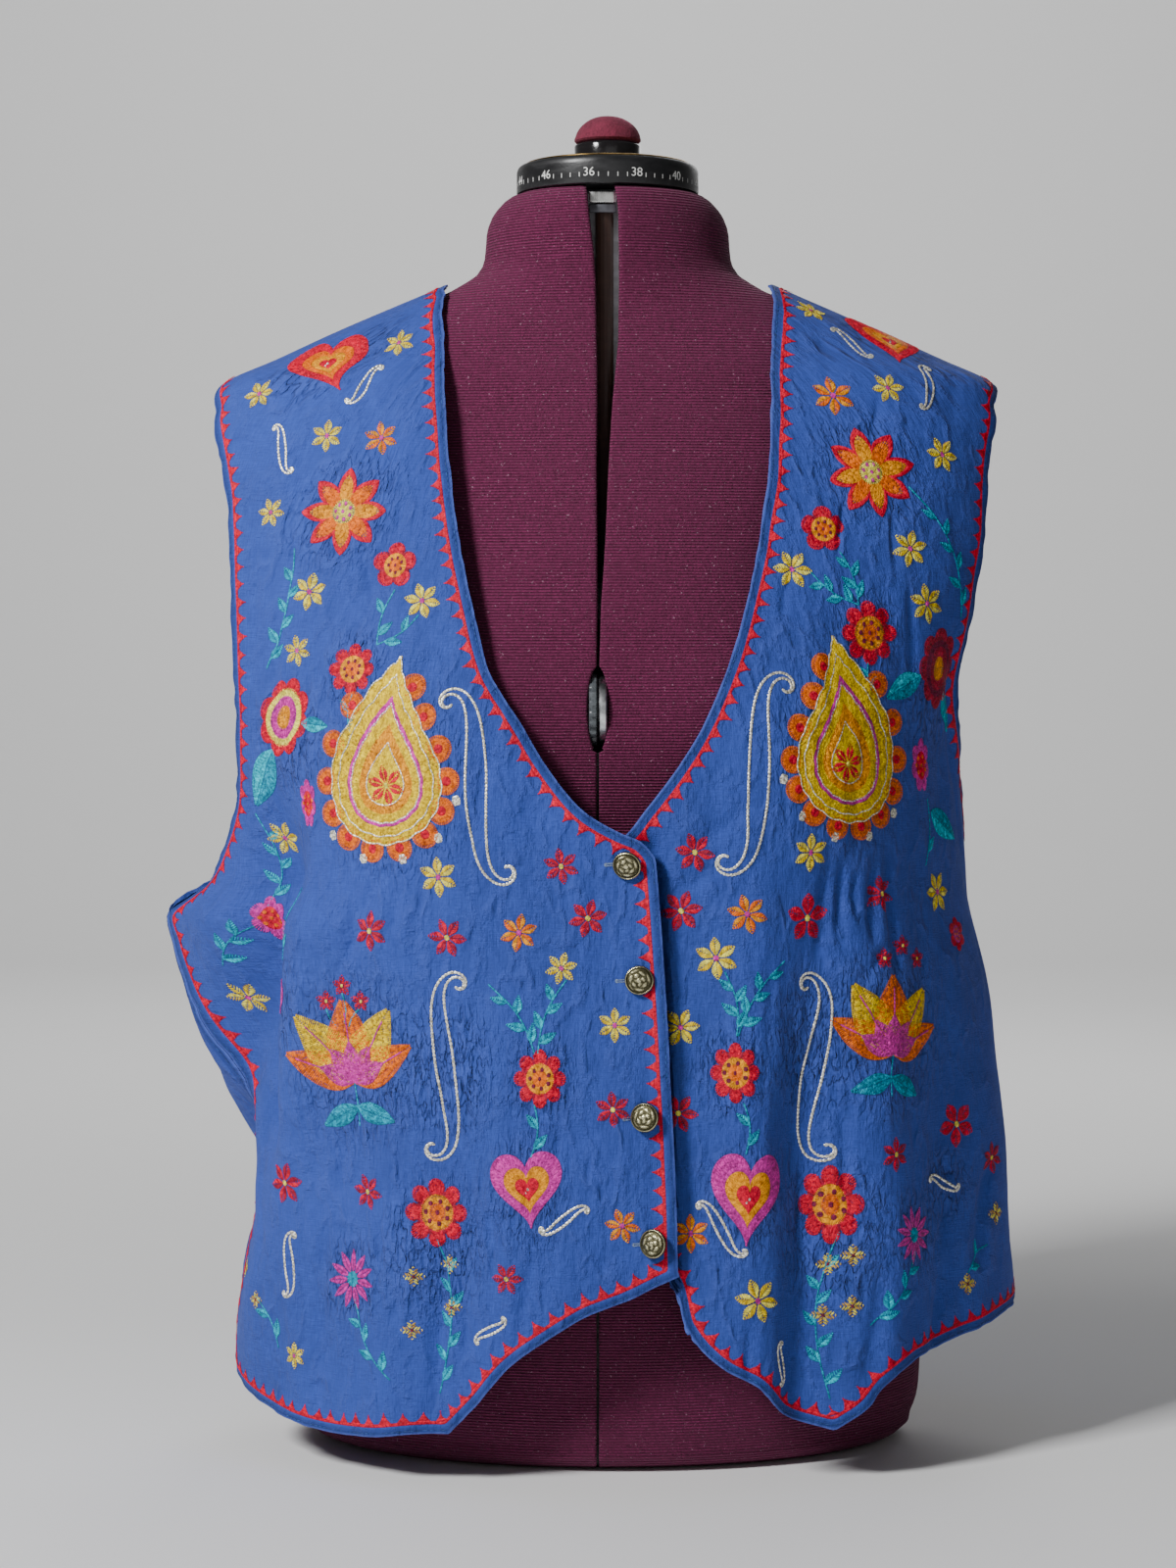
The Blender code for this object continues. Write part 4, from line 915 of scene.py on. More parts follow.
def respaced(grid, axis):
    """The grid with its lines along one axis spaced close together by both edges and evenly between."""
    grid = np.moveaxis(grid, axis, 0)
    points = unfolded(grid[..., 0], grid[..., 1])
    steps = np.linalg.norm(np.diff(points, axis=0), axis=-1)
    run = np.concatenate([np.zeros((1, grid.shape[1])), np.cumsum(steps, axis=0)])
    found = np.empty_like(grid)
    inner = len(grid) - 2 * len(EDGE_STEPS)
    for k in range(grid.shape[1]):
        whole = run[-1, k]
        middle = np.linspace(EDGE_STEPS[-1], whole - EDGE_STEPS[-1], inner + 2)[1:-1]
        at = np.concatenate([EDGE_STEPS, middle, whole - EDGE_STEPS[::-1]])
        for part in (0, 1):
            found[:, k, part] = np.interp(at, run[:, k], grid[:, k, part])
    return np.moveaxis(found, 0, axis)


def away_from(points, line):
    """How far each point is from the nearest stretch of the line."""
    start, reach = line[:-1], np.diff(line, axis=0)
    size = (reach**2).sum(-1) + 1e-15
    found = []
    for some in np.array_split(points.reshape(-1, 3), 80):
        off = some[:, None] - start
        t = np.clip((off * reach).sum(-1) / size, 0.0, 1.0)
        found.append(np.sqrt(((off - t[..., None] * reach) ** 2).sum(-1)).min(axis=1))
    return np.concatenate(found).reshape(points.shape[:-1])


def edge_form(away):
    """The turned edge: thicker than the cloth, sunk at its stitching and rolled over at its rim."""
    turned_in = 0.00035 * (1.0 - eased(0.0036, 0.0048, away))
    stitched = 0.00022 * np.exp(-(((away - 0.0018) / 0.0006) ** 2))
    return turned_in - stitched - 0.0005 * (1.0 - eased(0.0, 0.0009, away))


def cloth_panel(name, node, side, fine):
    """A panel of cloth, thick by the cloth's thickness, with its outer face on the wrap, and the line round it."""
    foot, top, first, last = front_edges(side, fine) if side else back_edges(fine)
    grid = respaced(respaced(patch(foot, top, first, last), 0), 1)
    outline = np.concatenate([first[::-1], foot[1:], last[1:]])
    if side == 0:
        outline = np.concatenate([outline, top[::-1][1:]])
    line = unfolded(*outline.T)
    away = away_from(unfolded(grid[..., 0], grid[..., 1]), line)
    ripple = mottled(grid[..., 0] * FLAT_TURN / 0.0065, grid[..., 1] / 0.0065, 7) * (1.0 - eased(0.0015, 0.0050, away))
    outer = on_cloth(grid[..., 0], grid[..., 1], side, edge_form(away) + EDGE_RIPPLE * ripple)
    along, up = np.gradient(outer, axis=0), np.gradient(outer, axis=1)
    normal = np.cross(along, up)
    normal /= np.linalg.norm(normal, axis=-1, keepdims=True)
    normal *= np.sign((normal * outer)[..., :2].sum())
    inner = outer - settings("cloth").thickness * normal
    columns, rows = grid.shape[0] - 1, grid.shape[1] - 1
    bm = bmesh.new()
    bmesh.ops.create_grid(bm, x_segments=columns, y_segments=rows, size=0.5)
    made = bmesh.ops.extrude_face_region(bm, geom=bm.faces[:])
    raised = {v for v in made["geom"] if isinstance(v, bmesh.types.BMVert)}
    places = []
    for v in bm.verts:
        i, j = round((v.co.x + 0.5) * columns), round((v.co.y + 0.5) * rows)
        v.co = outer[i, j] if v in raised else inner[i, j]
        places.append((i, j))
    i, j = np.array(places).T
    piece = finished(name, bm, [chambray()])
    weave = np.stack([grid[..., 0] * FLAT_TURN, grid[..., 1], 0.0 * away], axis=-1)
    written(piece, "weave", "FLOAT_VECTOR", "vector", weave[i, j])
    written(piece, "edge", "FLOAT", "value", away[i, j])
    written(piece, "drawn", "FLOAT", "value", drawn(grid[..., 0], grid[..., 1])[i, j])
    across = np.linalg.norm(np.cross(np.diff(outer, axis=0)[:, :-1], np.diff(outer, axis=1)[:-1]), axis=-1)
    piece["cloth_area"] = float(across.sum())
    return rider(piece, "cloth", node), outline


# Stitching. A motif is rows of numbers in millimetres on the flat cloth, x round and y up: where the stitch begins
# (two), where it ends (two), its width, its rise, what it lies on, and the number of its thread.

THREADS = (
    "red", "dark_red", "orange", "amber", "yellow", "ochre", "magenta", "teal", "pale_teal", "maroon", "blue",
    "silver", "pale_blue", "pale_gold", "gold",
)
SILVER = THREADS.index("silver")
PITCH = 0.96  # from one stitch to the next
LINE_STEP = 0.001  # from one point to the next of a line beside an edge
LONG_STITCH = 0.0028  # a longer one is laid with four stations, a shorter with three


def rows(begin, end, thread, width=1.05, rise=0.34, base=0.0):
    """Stitches from the first points to the second; the thread is a name or a number for each."""
    begin, end = np.atleast_2d(begin), np.atleast_2d(end)
    number = THREADS.index(thread) if isinstance(thread, str) else thread
    found = np.empty((len(begin), 8))
    found[:, 0:2], found[:, 2:4] = begin, end
    found[:, 4], found[:, 5], found[:, 6], found[:, 7] = width, rise, base, number
    return found


def moved(motif, x=0.0, y=0.0, turn=0.0, size=1.0, mirror=False):
    """The motif made larger, mirrored, turned by degrees and moved, in that order."""
    c, s = math.cos(math.radians(turn)) * size, math.sin(math.radians(turn)) * size
    found = motif.copy()
    for at in (0, 2):
        across = -motif[:, at] if mirror else motif[:, at]
        found[:, at] = c * across - s * motif[:, at + 1] + x
        found[:, at + 1] = s * across + c * motif[:, at + 1] + y
    return found


def petal(length, broad, threads, start=0.0, full=0.85, **finish):
    """A pointed petal or leaf along +y from the start, in two halves of slanted stitches that meet in a vein."""
    right, left = (threads, threads) if isinstance(threads, str) else threads
    t = np.linspace(0.02, 0.95, max(3, int(length / PITCH)))
    half = 0.5 * broad * np.sin(math.pi * t**full) ** 0.9 * (1.0 - 0.35 * t) * 1.25 + 0.08
    along, lean = start + length * t, np.minimum(half, 3.5)
    vein = np.stack([np.full(len(t), 0.06), along - 0.55 * lean - 0.1], axis=-1)
    edge = np.stack([half, along + 0.20 * lean], axis=-1)
    flip = np.array((-1.0, 1.0))
    return np.concatenate([rows(vein, edge, right, **finish), rows(vein * flip, edge * flip, left, **finish)])


def spun(parts, count, turn=0.0):
    """Copies of the parts in turn, spaced evenly round the middle."""
    return np.concatenate([moved(parts[k % len(parts)], turn=turn + 360.0 * k / count) for k in range(count)])


def ring(inner, outer, thread, squash=1.0, pitch=PITCH, **finish):
    """Stitches from one closed line round the middle to another, each a radius for every angle."""
    count = max(8, int(math.tau * 0.5 * (np.mean(inner(np.zeros(1))) + np.mean(outer(np.zeros(1)))) / pitch) + 8)
    angle = np.linspace(0.0, math.tau, count, endpoint=False)
    way = np.stack([np.sin(angle) * squash, np.cos(angle)], axis=-1)
    thread = thread(angle) if callable(thread) else thread
    return rows(way * inner(angle)[:, None], way * outer(angle)[:, None], thread, **finish)


def even(radius):
    return lambda angle: np.full(np.shape(angle), float(radius))


def knot(x, y, thread, size=1.3, base=0.25):
    """A small raised knot."""
    sides = np.array(((-0.5, 0.0), (-0.4, 0.3), (-0.4, -0.3))) * size
    return rows(sides + (x, y), sides * (-1.0, 1.0) + (x, y), thread, width=0.5 * size, rise=0.35, base=base)


def star(radius, first, second, heart, count=6, full=0.44):
    """Pointed petals round a knot, the two halves of each petal in two threads whose difference paints the satin's
    light and shade.
    """
    petals = [petal(0.86 * radius, full * radius, (first, second), 0.14 * radius, 1.1)]
    return np.concatenate([spun(petals, count), knot(0.0, 0.0, heart, 0.20 * radius + 0.6)])


def knots(radius, thread, count=7, size=1.9):
    """A ring of knots with one in its middle."""
    angles = np.radians(360.0 / count * np.arange(count) + 15.0)
    found = [knot(radius * math.sin(a), radius * math.cos(a), thread, size, 0.4) for a in angles]
    return np.concatenate(found + [knot(0.0, 0.0, thread, size, 0.4)])


def lobed(radius, lobes, depth, sharp=1.0):
    """A radius for every angle with round lobes, or with pointed ones where sharp is small."""
    return lambda angle: radius * (1.0 - depth + depth * np.abs(np.cos(lobes * angle / 2.0)) ** sharp)


def round_flower(radius, edge="red", disc="amber", dots="maroon", lobes=8, squash=1.0):
    """A flower with round lobes about a dotted disc; a red one is stitched in dark red where its lobes meet, as painted
    shade.
    """
    shades = (THREADS.index(edge), THREADS.index("dark_red" if edge == "red" else edge))
    # Painted shade: on a red flower the stitches where two lobes meet are dark red.
    petals = ring(
        even(0.52 * radius), lobed(1.04 * radius, lobes, 0.34, 0.62),
        lambda a: np.where(np.abs(np.cos(lobes * a / 2.0)) < 0.30, *shades[::-1]), squash, rise=0.40,
    )
    rim = ring(even(0.28 * radius), even(0.58 * radius), disc, squash, rise=0.32)
    eye = ring(even(0.02 * radius), even(0.32 * radius), "orange" if disc == "amber" else disc, squash, rise=0.34)
    return np.concatenate([petals, rim, eye, knots(0.34 * radius, dots, 7, 0.11 * radius + 0.5)])


def pointed(radius, petals, valley):
    """A radius for every angle of a flower with pointed petals."""

    def found(angle):
        t = np.abs((angle * petals / math.tau + 0.5) % 1.0 - 0.5) * 2.0
        return radius * (valley + (1.0 - valley) * (1.0 - t**1.15) ** 0.85)

    return found


def sunflower(radius, petals=8):
    """A large flower with pointed petals, edged in red, about a yellow dotted disc."""
    shades = (THREADS.index("orange"), THREADS.index("amber"))
    inside = pointed(0.84 * radius, petals, 0.50)
    fill = ring(
        even(0.26 * radius), inside,
        lambda a: np.where(np.round(a * petals / math.tau) % 2 > 0.5, *shades), pitch=0.90, width=1.15, rise=0.42,
    )
    edging = ring(lambda a: inside(a) - 0.3, pointed(radius, petals, 0.54), "red", pitch=0.74, width=1.10, rise=0.46)
    disc = ring(even(0.02 * radius), even(0.30 * radius), "yellow", rise=0.42)
    return np.concatenate([fill, edging, disc, knots(0.18 * radius, "magenta", 7, 2.2)])


def oval_flower(radius, threads=("red", "yellow", "magenta", "amber")):
    """A tall flower in four rings, the outer one lobed."""
    found = []
    for thread, (low, high) in zip(threads, ((0.74, None), (0.56, 0.80), (0.30, 0.60), (0.02, 0.34))):
        outer = lobed(1.08 * radius, 8, 0.22, 0.62) if high is None else even(high * radius)
        found.append(ring(even(low * radius), outer, thread, 0.78, rise=0.40))
    return np.concatenate(found)


# The left front's oval flower in darker threads: partly a colourway of its own, partly painted shade, as it lies on the
# side away from the key light.
def dark_oval_flower(radius):
    return oval_flower(radius, ("dark_red", "maroon", "dark_red", "amber"))


def daisy(radius, petals=11):
    """Slim magenta petals round a teal disc."""
    rays = [petal(0.74 * radius, 0.24 * radius, "magenta", start=0.26 * radius)]
    return np.concatenate([spun(rays, petals), ring(even(0.3), even(0.27 * radius), "teal", rise=0.40)])


def heart(radius, bands, squash):
    """A heart in nested bands, from the outside in."""
    t = np.linspace(0.0, math.tau, int(5.6 * radius / 0.56), endpoint=False)
    x = 16.0 * np.sin(t) ** 3
    y = 13.0 * np.cos(t) - 5.0 * np.cos(2 * t) - 2.0 * np.cos(3 * t) - np.cos(4 * t) + 2.5
    line = np.stack([x * squash, y], axis=-1) * radius / 15.5
    found = []
    for (thread, outer), inner in zip(bands, [size for _, size in bands[1:]] + [0.02]):
        wanted = slice(None, None, 1 if outer > 0.6 else 2)
        found.append(rows(line[wanted] * inner, line[wanted] * outer, thread, rise=0.34))
    return np.concatenate(found + [knot(0.0, 0.6, "silver", 1.6), knot(-1.2, -1.2, "silver", 1.2)])


def stem(path, thread="teal", width=1.05, length=2.6, rise=0.36):
    """Short stitches along a line, each lapping the next."""
    run = run_along(path)
    points = read_at(np.linspace(0.0, run[-1], max(2, int(run[-1] / (0.8 * length)) + 1)), run, path)
    lap = 0.12 * np.diff(points, axis=0)
    return rows(points[:-1] - lap, points[1:] + lap, thread, width=width, rise=rise)


def sprig(x, y, leaves, number):
    """A stem from the middle to a point, bent a little, with leaves on both sides."""
    length = math.hypot(x, y)
    t = np.linspace(0.0, 1.0, 24)
    bend = 0.09 * length * (1.0 if number % 2 else -1.0) * np.sin(math.pi * t)
    path = np.stack([x * t - bend * y / length, y * t + bend * x / length], axis=-1)
    found = [stem(path)]
    count = leaves + (1 if leaves > 2 else 0)
    for k in range(count):
        at = 0.10 + 0.78 * (k + 0.2) / max(1, count)
        base = path[min(23, int(23 * at))]
        size = min(10.5, 0.20 * length + 4.6) * (1.0 - 0.22 * at)
        lean = math.degrees(math.atan2(-x, y)) + (42.0 if k % 2 else -38.0)
        found.append(moved(petal(size, 0.44 * size, ("pale_teal", "teal"), 0.5, 0.75), *base, lean))
    return np.concatenate(found)


def paisley(height):
    """A large bent drop in bands, with a scalloped rim, a row of dots and a small flower inside."""
    t = np.linspace(0.0, math.tau, int(2.7 * height / 0.80), endpoint=False)
    x = 0.90 * np.sin(t) * np.abs(np.sin(t / 2.0)) ** 1.1
    y = np.cos(t)
    x = x + 0.34 * np.maximum(y + 0.1, 0.0) ** 2
    line = np.stack([x - 0.02, y + 0.36], axis=-1) * 0.5 * height
    disc = [
        ring(even(2.2), even(0.078 * height), "orange", rise=0.42),
        ring(even(0.2), even(0.030 * height), "red", width=0.9, rise=0.5, base=0.25),
    ]
    found = []
    for k in range(13):
        place = line[int((0.16 + 0.68 * k / 12) * len(t))] * 1.10
        found.append(moved(np.concatenate(disc), *place))
    for share in (0.36, 0.43, 0.50, 0.57, 0.64):
        found.append(knot(*(line[int(share * len(t))] * 1.30), "silver", 4.6, 0.0))
    steps = ((0.99, 0.83), (0.85, 0.69), (0.71, 0.62), (0.63, 0.47), (0.49, 0.31), (0.33, 0.02))
    shades = ("gold", "gold", "magenta", "gold", "amber", "gold")
    for number, ((outer, inner), thread) in enumerate(zip(steps, shades)):
        scallops = 1.0 + 0.035 * np.abs(np.sin(11.0 * t + 0.5 * math.pi * number))
        wave = np.ones((len(t), 1)) if thread == "magenta" else scallops[:, None]
        every = 1 if outer > 0.5 else 2
        found.append(rows((line * inner * wave)[::every], (line * outer * wave)[::every], thread, 1.15, 0.40, 0.12))
        if thread == "gold":
            scales = stem(np.concatenate([line, line[:1]]) * outer * np.concatenate([wave, wave[:1]]), "silver", 0.8)
            scales[:, 6] = 0.50
            found.append(scales)
    flower = star(0.12 * height, "red", "red", "yellow", 6)
    flower[:, 6] += 0.5
    return np.concatenate(found + [flower])


def tulip(width):
    """An open tulip with a banded cup, two leaves and a short stem."""
    found = []
    for lean, size, full, thread in (
        (66.0, 0.50, 0.22, "orange"), (-66.0, 0.50, 0.22, "orange"), (36.0, 0.56, 0.28, "gold"),
        (-36.0, 0.56, 0.28, "gold"), (0.0, 0.54, 0.30, "orange"),
    ):
        blade = petal(size * width, full * width, thread, 0.0, 0.75, width=1.0, rise=0.42)
        vein = stem(np.array(((0.0, 0.15 * width), (0.0, 0.8 * size * width))), "magenta", 1.0)
        vein[:, 6] = 0.4
        found.append(moved(np.concatenate([blade, vein]), turn=lean))
    cup = petal(0.26 * width, 0.13 * width, "magenta", base=0.5, rise=0.40)
    found += [moved(cup, turn=lean) for lean in (-66.0, -33.0, 0.0, 33.0, 66.0)]
    found.append(stem(np.array(((0.0, 0.0), (0.5, -0.14 * width), (-0.5, -0.28 * width))), "teal", 1.0))
    for lean in (112.0, -112.0):
        found.append(moved(petal(0.30 * width, 0.12 * width, "teal"), 0.0, -0.16 * width, lean))
    return np.concatenate(found)


def tendril(length, wide):
    """An outlined leaf in the shape of a slim S that curls at each end, widest in its middle."""
    s = np.linspace(-1.0, 1.0, 160)
    heading = 1.80 * math.pi * np.abs(s) ** 5.0
    steps = np.stack([np.sin(heading), np.cos(heading)], axis=-1)
    path = np.cumsum(steps, axis=0)
    path = path - path.mean(axis=0)
    path *= length / (path[:, 1].max() - path[:, 1].min())
    way = np.gradient(path, axis=0)
    way /= np.linalg.norm(way, axis=-1, keepdims=True)
    spread = 0.5 * wide * np.cos(0.5 * math.pi * s)[:, None] ** 1.3
    side = np.stack([-way[:, 1], way[:, 0]], axis=-1) * spread
    return np.concatenate([stem(path + side, "silver", 1.6, 2.4, 0.65), stem(path - side, "silver", 1.6, 2.4, 0.65)])


def broken(motif, longest=4.4):
    """Stitches over the longest cut into shorter ones, at places that differ from one to the next."""
    reach = np.hypot(motif[:, 2] - motif[:, 0], motif[:, 3] - motif[:, 1])
    chance = np.random.default_rng(len(motif))
    found = [motif[reach <= longest]]
    for stitch, long in zip(motif[reach > longest], reach[reach > longest]):
        count = int(long / longest) + 1
        at = np.concatenate([[0.0], (np.arange(count) + chance.uniform(0.25, 0.85)) / count, [1.0]])
        points = stitch[0:2] + at[:, None] * (stitch[2:4] - stitch[0:2])
        found.append(np.concatenate([points[:-1], points[1:], np.tile(stitch[4:], (count + 1, 1))], axis=1))
    return np.concatenate(found)


def placed(motif, azimuth, height):
    """The motif's stitches as places on the wrap, about the place given."""
    motif = broken(motif)
    found = motif.copy()
    for at in (0, 2):
        found[:, at], found[:, at + 1] = shifted(
            np.full(len(motif), azimuth), np.full(len(motif), height), 0.001 * motif[:, at], 0.001 * motif[:, at + 1]
        )
    return found


def between_places(azimuth, height, far_azimuth, far_height):
    """How far round and up the second place lies from the first, in millimetres."""
    round_way, upward, sideways = (float(part) for part in ground(np.array(azimuth), np.array(height)))
    rise = far_height - height
    return 1000.0 * (round_way * (far_azimuth - azimuth) + sideways * rise), 1000.0 * upward * rise


def inset(outline, side, distance):
    """The line inside a panel's outline at that distance: run, azimuth, height and the inward way's x and y."""
    run = run_along(unfolded(*outline.T))
    azimuth, height = read_at(np.linspace(0.0, run[-1], int(run[-1] / LINE_STEP)), run, outline).T
    inward = inward_way(azimuth, height, side)
    line = unfolded(azimuth, height)
    azimuth, height = shifted(azimuth, height, distance * inward[:, 0], distance * inward[:, 1])
    kept = away_from(unfolded(azimuth, height), line) > 0.95 * distance
    azimuth, height = (smoothed(part[kept]) for part in (azimuth, height))
    inward = inward_way(azimuth, height, side)
    return run_along(unfolded(azimuth, height)), azimuth, height, inward[:, 0], inward[:, 1]


def smoothed(values, reach=3):
    padded = np.concatenate([np.full(reach, values[0]), values, np.full(reach, values[-1])])
    return np.convolve(padded, np.ones(2 * reach + 1) / (2 * reach + 1), mode="valid")


def inward_way(azimuth, height, side):
    round_way, upward, sideways = ground(azimuth, height)
    turn, rise = np.gradient(azimuth), np.gradient(height)
    x, y = round_way * turn + sideways * rise, upward * rise
    inward = np.stack([y, -x], axis=-1) * (-1.0 if side < 0 else 1.0)
    inward = np.stack([smoothed(inward[:, i], 4) for i in (0, 1)], axis=-1)
    return inward / (np.linalg.norm(inward, axis=-1, keepdims=True) + 1e-12)


def along_line(line, run, inwards):
    """Places at those runs along an inset line, moved inwards by millimetres."""
    azimuth, height, x, y = (np.interp(run, line[0], part) for part in line[1:])
    return np.stack(shifted(azimuth, height, 0.001 * inwards * x, 0.001 * inwards * y), axis=-1)


def border(outline, side, seed):
    """The sawtooth border: a satin line beside the edge, with teeth that point into the panel."""
    s = settings("stitching")
    line = inset(outline, side, s.border_inset)
    half = 500.0 * s.border_line
    at = np.arange(0.0, line[0][-1], 0.00062)
    satin = rows(along_line(line, at - 0.0003, -half), along_line(line, at + 0.0003, half), "red", rise=0.42)
    chance = np.random.default_rng(seed)
    found, start = [satin], 0.003
    while start < line[0][-1] - 0.004:
        wide = s.tooth_base * chance.uniform(0.88, 1.10)
        tall = 1000.0 * s.tooth_height * chance.uniform(0.86, 1.10)
        level = np.linspace(0.0, 0.97, int(tall / 0.60))
        narrow = 0.5 * wide * (1.0 - level) ** 1.45 + 0.00015
        lean = chance.uniform(-0.0004, 0.0004) * level
        inwards = half - 0.2 + tall * level
        near = along_line(line, start + lean - narrow, inwards)
        found.append(rows(near, along_line(line, start + lean + narrow, inwards + 0.3), "red", rise=0.36))
        start += s.tooth_pitch * chance.uniform(0.93, 1.07)
    return np.concatenate(found)


def topstitching(outline, side):
    """A row of straight stitches beside a panel's edge."""
    s = settings("stitching")
    line = inset(outline, side, s.topstitch_inset)
    at = np.arange(0.001, line[0][-1] - 0.003, s.topstitch_length + 0.0007)
    begin, end = along_line(line, at, 0.0), along_line(line, at + s.topstitch_length, 0.0)
    return rows(begin, end, "blue", width=0.42, rise=0.16, base=0.02)


def sewn(name, side, stitches):
    """One mesh of many stitches: each is a low ridge of thread, tied down at both ends, with painted shade at its ends
    and on its flanks.
    """
    chance = np.random.default_rng(len(stitches))
    begin, end = stitches[:, 0:2], stitches[:, 2:4]
    long = np.linalg.norm(unfolded(*begin.T) - unfolded(*end.T), axis=-1) > LONG_STITCH
    palette = np.array([tuple(getattr(settings("threads"), thread)) for thread in THREADS])
    points, colours, corners, metal, used = [], [], [], [], 0
    for wanted, stations, fullness in (
        (long, (0.0, 0.16, 0.84, 1.0), (0.45, 1.0, 1.0, 0.45)), (~long, (0.0, 0.5, 1.0), (0.55, 1.0, 0.55))
    ):
        some, count = stitches[wanted], len(stations)
        if not len(some):
            continue
        stations, fullness = np.array(stations), np.array(fullness)
        jitter = 1.0 + chance.uniform(-0.03, 0.03, (len(some), 1, 1))
        share = 0.5 + (stations[:, None] - 0.5) * jitter
        at = some[:, None, 0:2] + (some[:, None, 2:4] - some[:, None, 0:2]) * share
        here, out = cloth_frame(at[..., 0], at[..., 1], side)
        along = here[:, -1:] - here[:, :1]
        across = np.cross(out, along / (np.linalg.norm(along, axis=-1, keepdims=True) + 1e-12))
        across /= np.linalg.norm(across, axis=-1, keepdims=True) + 1e-12
        width, rise, base = (0.001 * some[:, i][:, None, None] for i in (4, 5, 6))
        rise = rise * (1.0 + chance.uniform(-0.18, 0.18, (len(some), 1, 1)))
        full = fullness[:, None]
        foot = here + out * (base * full + 0.00018)
        spread = across * (0.5 * width * full)
        ridge = foot + out * (rise * (2.0 * full - 0.9))
        block = np.stack([foot - spread, ridge, foot + spread], axis=2).reshape(-1, 3)
        shade = palette[some[:, 7].astype(int)] * (1.0 + chance.uniform(-0.36, 0.22, (len(some), 1)))
        # Painted shade: each stitch is darker towards its ends, where it dives into the cloth, and darker on its two
        # flanks than on its crest.
        tint = shade[:, None, None, :] * (0.30 + 0.70 * fullness[:, None, None]) * np.array((0.76, 1.0, 0.76))[:, None]
        colours.append(np.broadcast_to(tint, (len(some), count, 3, 3)).reshape(-1, 3))
        one = np.array([
            (3 * k + a, 3 * k + 3 + a, 3 * k + 4 + a, 3 * k + 1 + a) for k in range(count - 1) for a in (0, 1)
        ])
        corners.append((used + 3 * count * np.arange(len(some))[:, None, None] + one).reshape(-1, 4))
        metal.append(np.repeat(some[:, 7].astype(int) == SILVER, len(one)))
        points.append(block)
        used += len(block)
    points, corners = np.concatenate(points), np.concatenate(corners)
    mesh = bpy.data.meshes.new(name)
    mesh.vertices.add(len(points))
    mesh.vertices.foreach_set("co", points.ravel())
    mesh.loops.add(corners.size)
    mesh.loops.foreach_set("vertex_index", corners.ravel().astype(np.int32))
    mesh.polygons.add(len(corners))
    mesh.polygons.foreach_set("loop_start", np.arange(0, corners.size, 4, dtype=np.int32))
    mesh.polygons.foreach_set("material_index", np.concatenate(metal).astype(np.int32))
    mesh.update(calc_edges=True)
    mesh.validate()
    mesh.shade_smooth()
    piece = bpy.data.objects.new(name, mesh)
    bpy.context.scene.collection.objects.link(piece)
    colours = np.concatenate([np.concatenate(colours), np.ones((len(points), 1))], axis=1)
    attribute = mesh.color_attributes.new("thread", "FLOAT_COLOR", "POINT")
    attribute.data.foreach_set("color", np.clip(colours, 0.0, 1.0).ravel())
    mesh.materials.append(embroidery_thread())
    mesh.materials.append(metal_thread())
    return rider(piece, "cloth")


# Where the motifs lie: azimuth and height of the middle, radius or size in millimetres, then the kind's own columns.
STARS_RIGHT = (  # azimuth, height, radius, colour, turn
    (-65.6, 0.6053, 9.6, "yellow", 10), (-77.5, 0.5782, 9.1, "yellow", 40), (-64.3, 0.5529, 9.5, "yellow", 0),
    (-68.2, 0.5116, 8.5, "yellow", 25), (-59.4, 0.4682, 10.5, "yellow", 50), (-59.8, 0.4368, 8.9, "yellow", 15),
    (-39.3, 0.4628, 10.3, "yellow", 20), (-66.9, 0.3361, 9.5, "yellow", 35), (-32.0, 0.3188, 10.7, "yellow", 5),
    (-9.6, 0.2718, 8.6, "yellow", 45), (1.1, 0.2424, 9.1, "yellow", 0), (-77.0, 0.2474, 9.1, "yellow", 30),
    (-55.9, 0.5511, 10.0, "orange", 10), (-17.8, 0.2901, 10.2, "orange", 50), (2.6, 0.1385, 9.4, "orange", 20),
    (-43.7, 0.29, 10.8, "red", 0), (-30.6, 0.2873, 10.7, "red", 25), (-9.6, 0.3246, 9.6, "red", 10),
    (-4.3, 0.2977, 10.2, "red", 45), (0.7, 0.1988, 9.6, "red", 5), (-64.3, 0.1514, 12.1, "red", 40),
    (-47.4, 0.1516, 9.8, "red", 20), (-20.0, 0.1108, 8.6, "red", 30), (-62.1, 0.0598, 7.3, "yellow", 0),
)
STARS_LEFT = (
    (73.7, 0.625, 9.7, "yellow", 15), (59.0, 0.5746, 12.2, "orange", 0), (68.0, 0.5798, 9.6, "yellow", 35),
    (71.2, 0.5436, 10.1, "yellow", 20), (40.9, 0.4796, 10.9, "yellow", 25), (62.6, 0.4916, 10.5, "yellow", 45),
    (64.6, 0.4622, 11.1, "yellow", 10), (17.1, 0.3317, 10.7, "red", 20), (38.6, 0.331, 10.2, "yellow", 0),
    (53.5, 0.3079, 9.9, "red", 10), (68.7, 0.3067, 11.7, "yellow", 30), (14.7, 0.3012, 11.2, "red", 40),
    (26.6, 0.2995, 10.7, "orange", 15), (38.8, 0.2966, 13.3, "petals", 0), (21.2, 0.2767, 11.2, "yellow", 5),
    (14.5, 0.2408, 10.2, "yellow", 35), (14.2, 0.1961, 10.7, "red", 25), (53.3, 0.1707, 9.3, "red", 0),
    (69.1, 0.1815, 12.7, "petals", 30), (76.4, 0.1605, 9.1, "red", 10), (16.6, 0.1336, 10.2, "orange", 0),
    (28.4, 0.0987, 12.2, "yellow", 20),
)
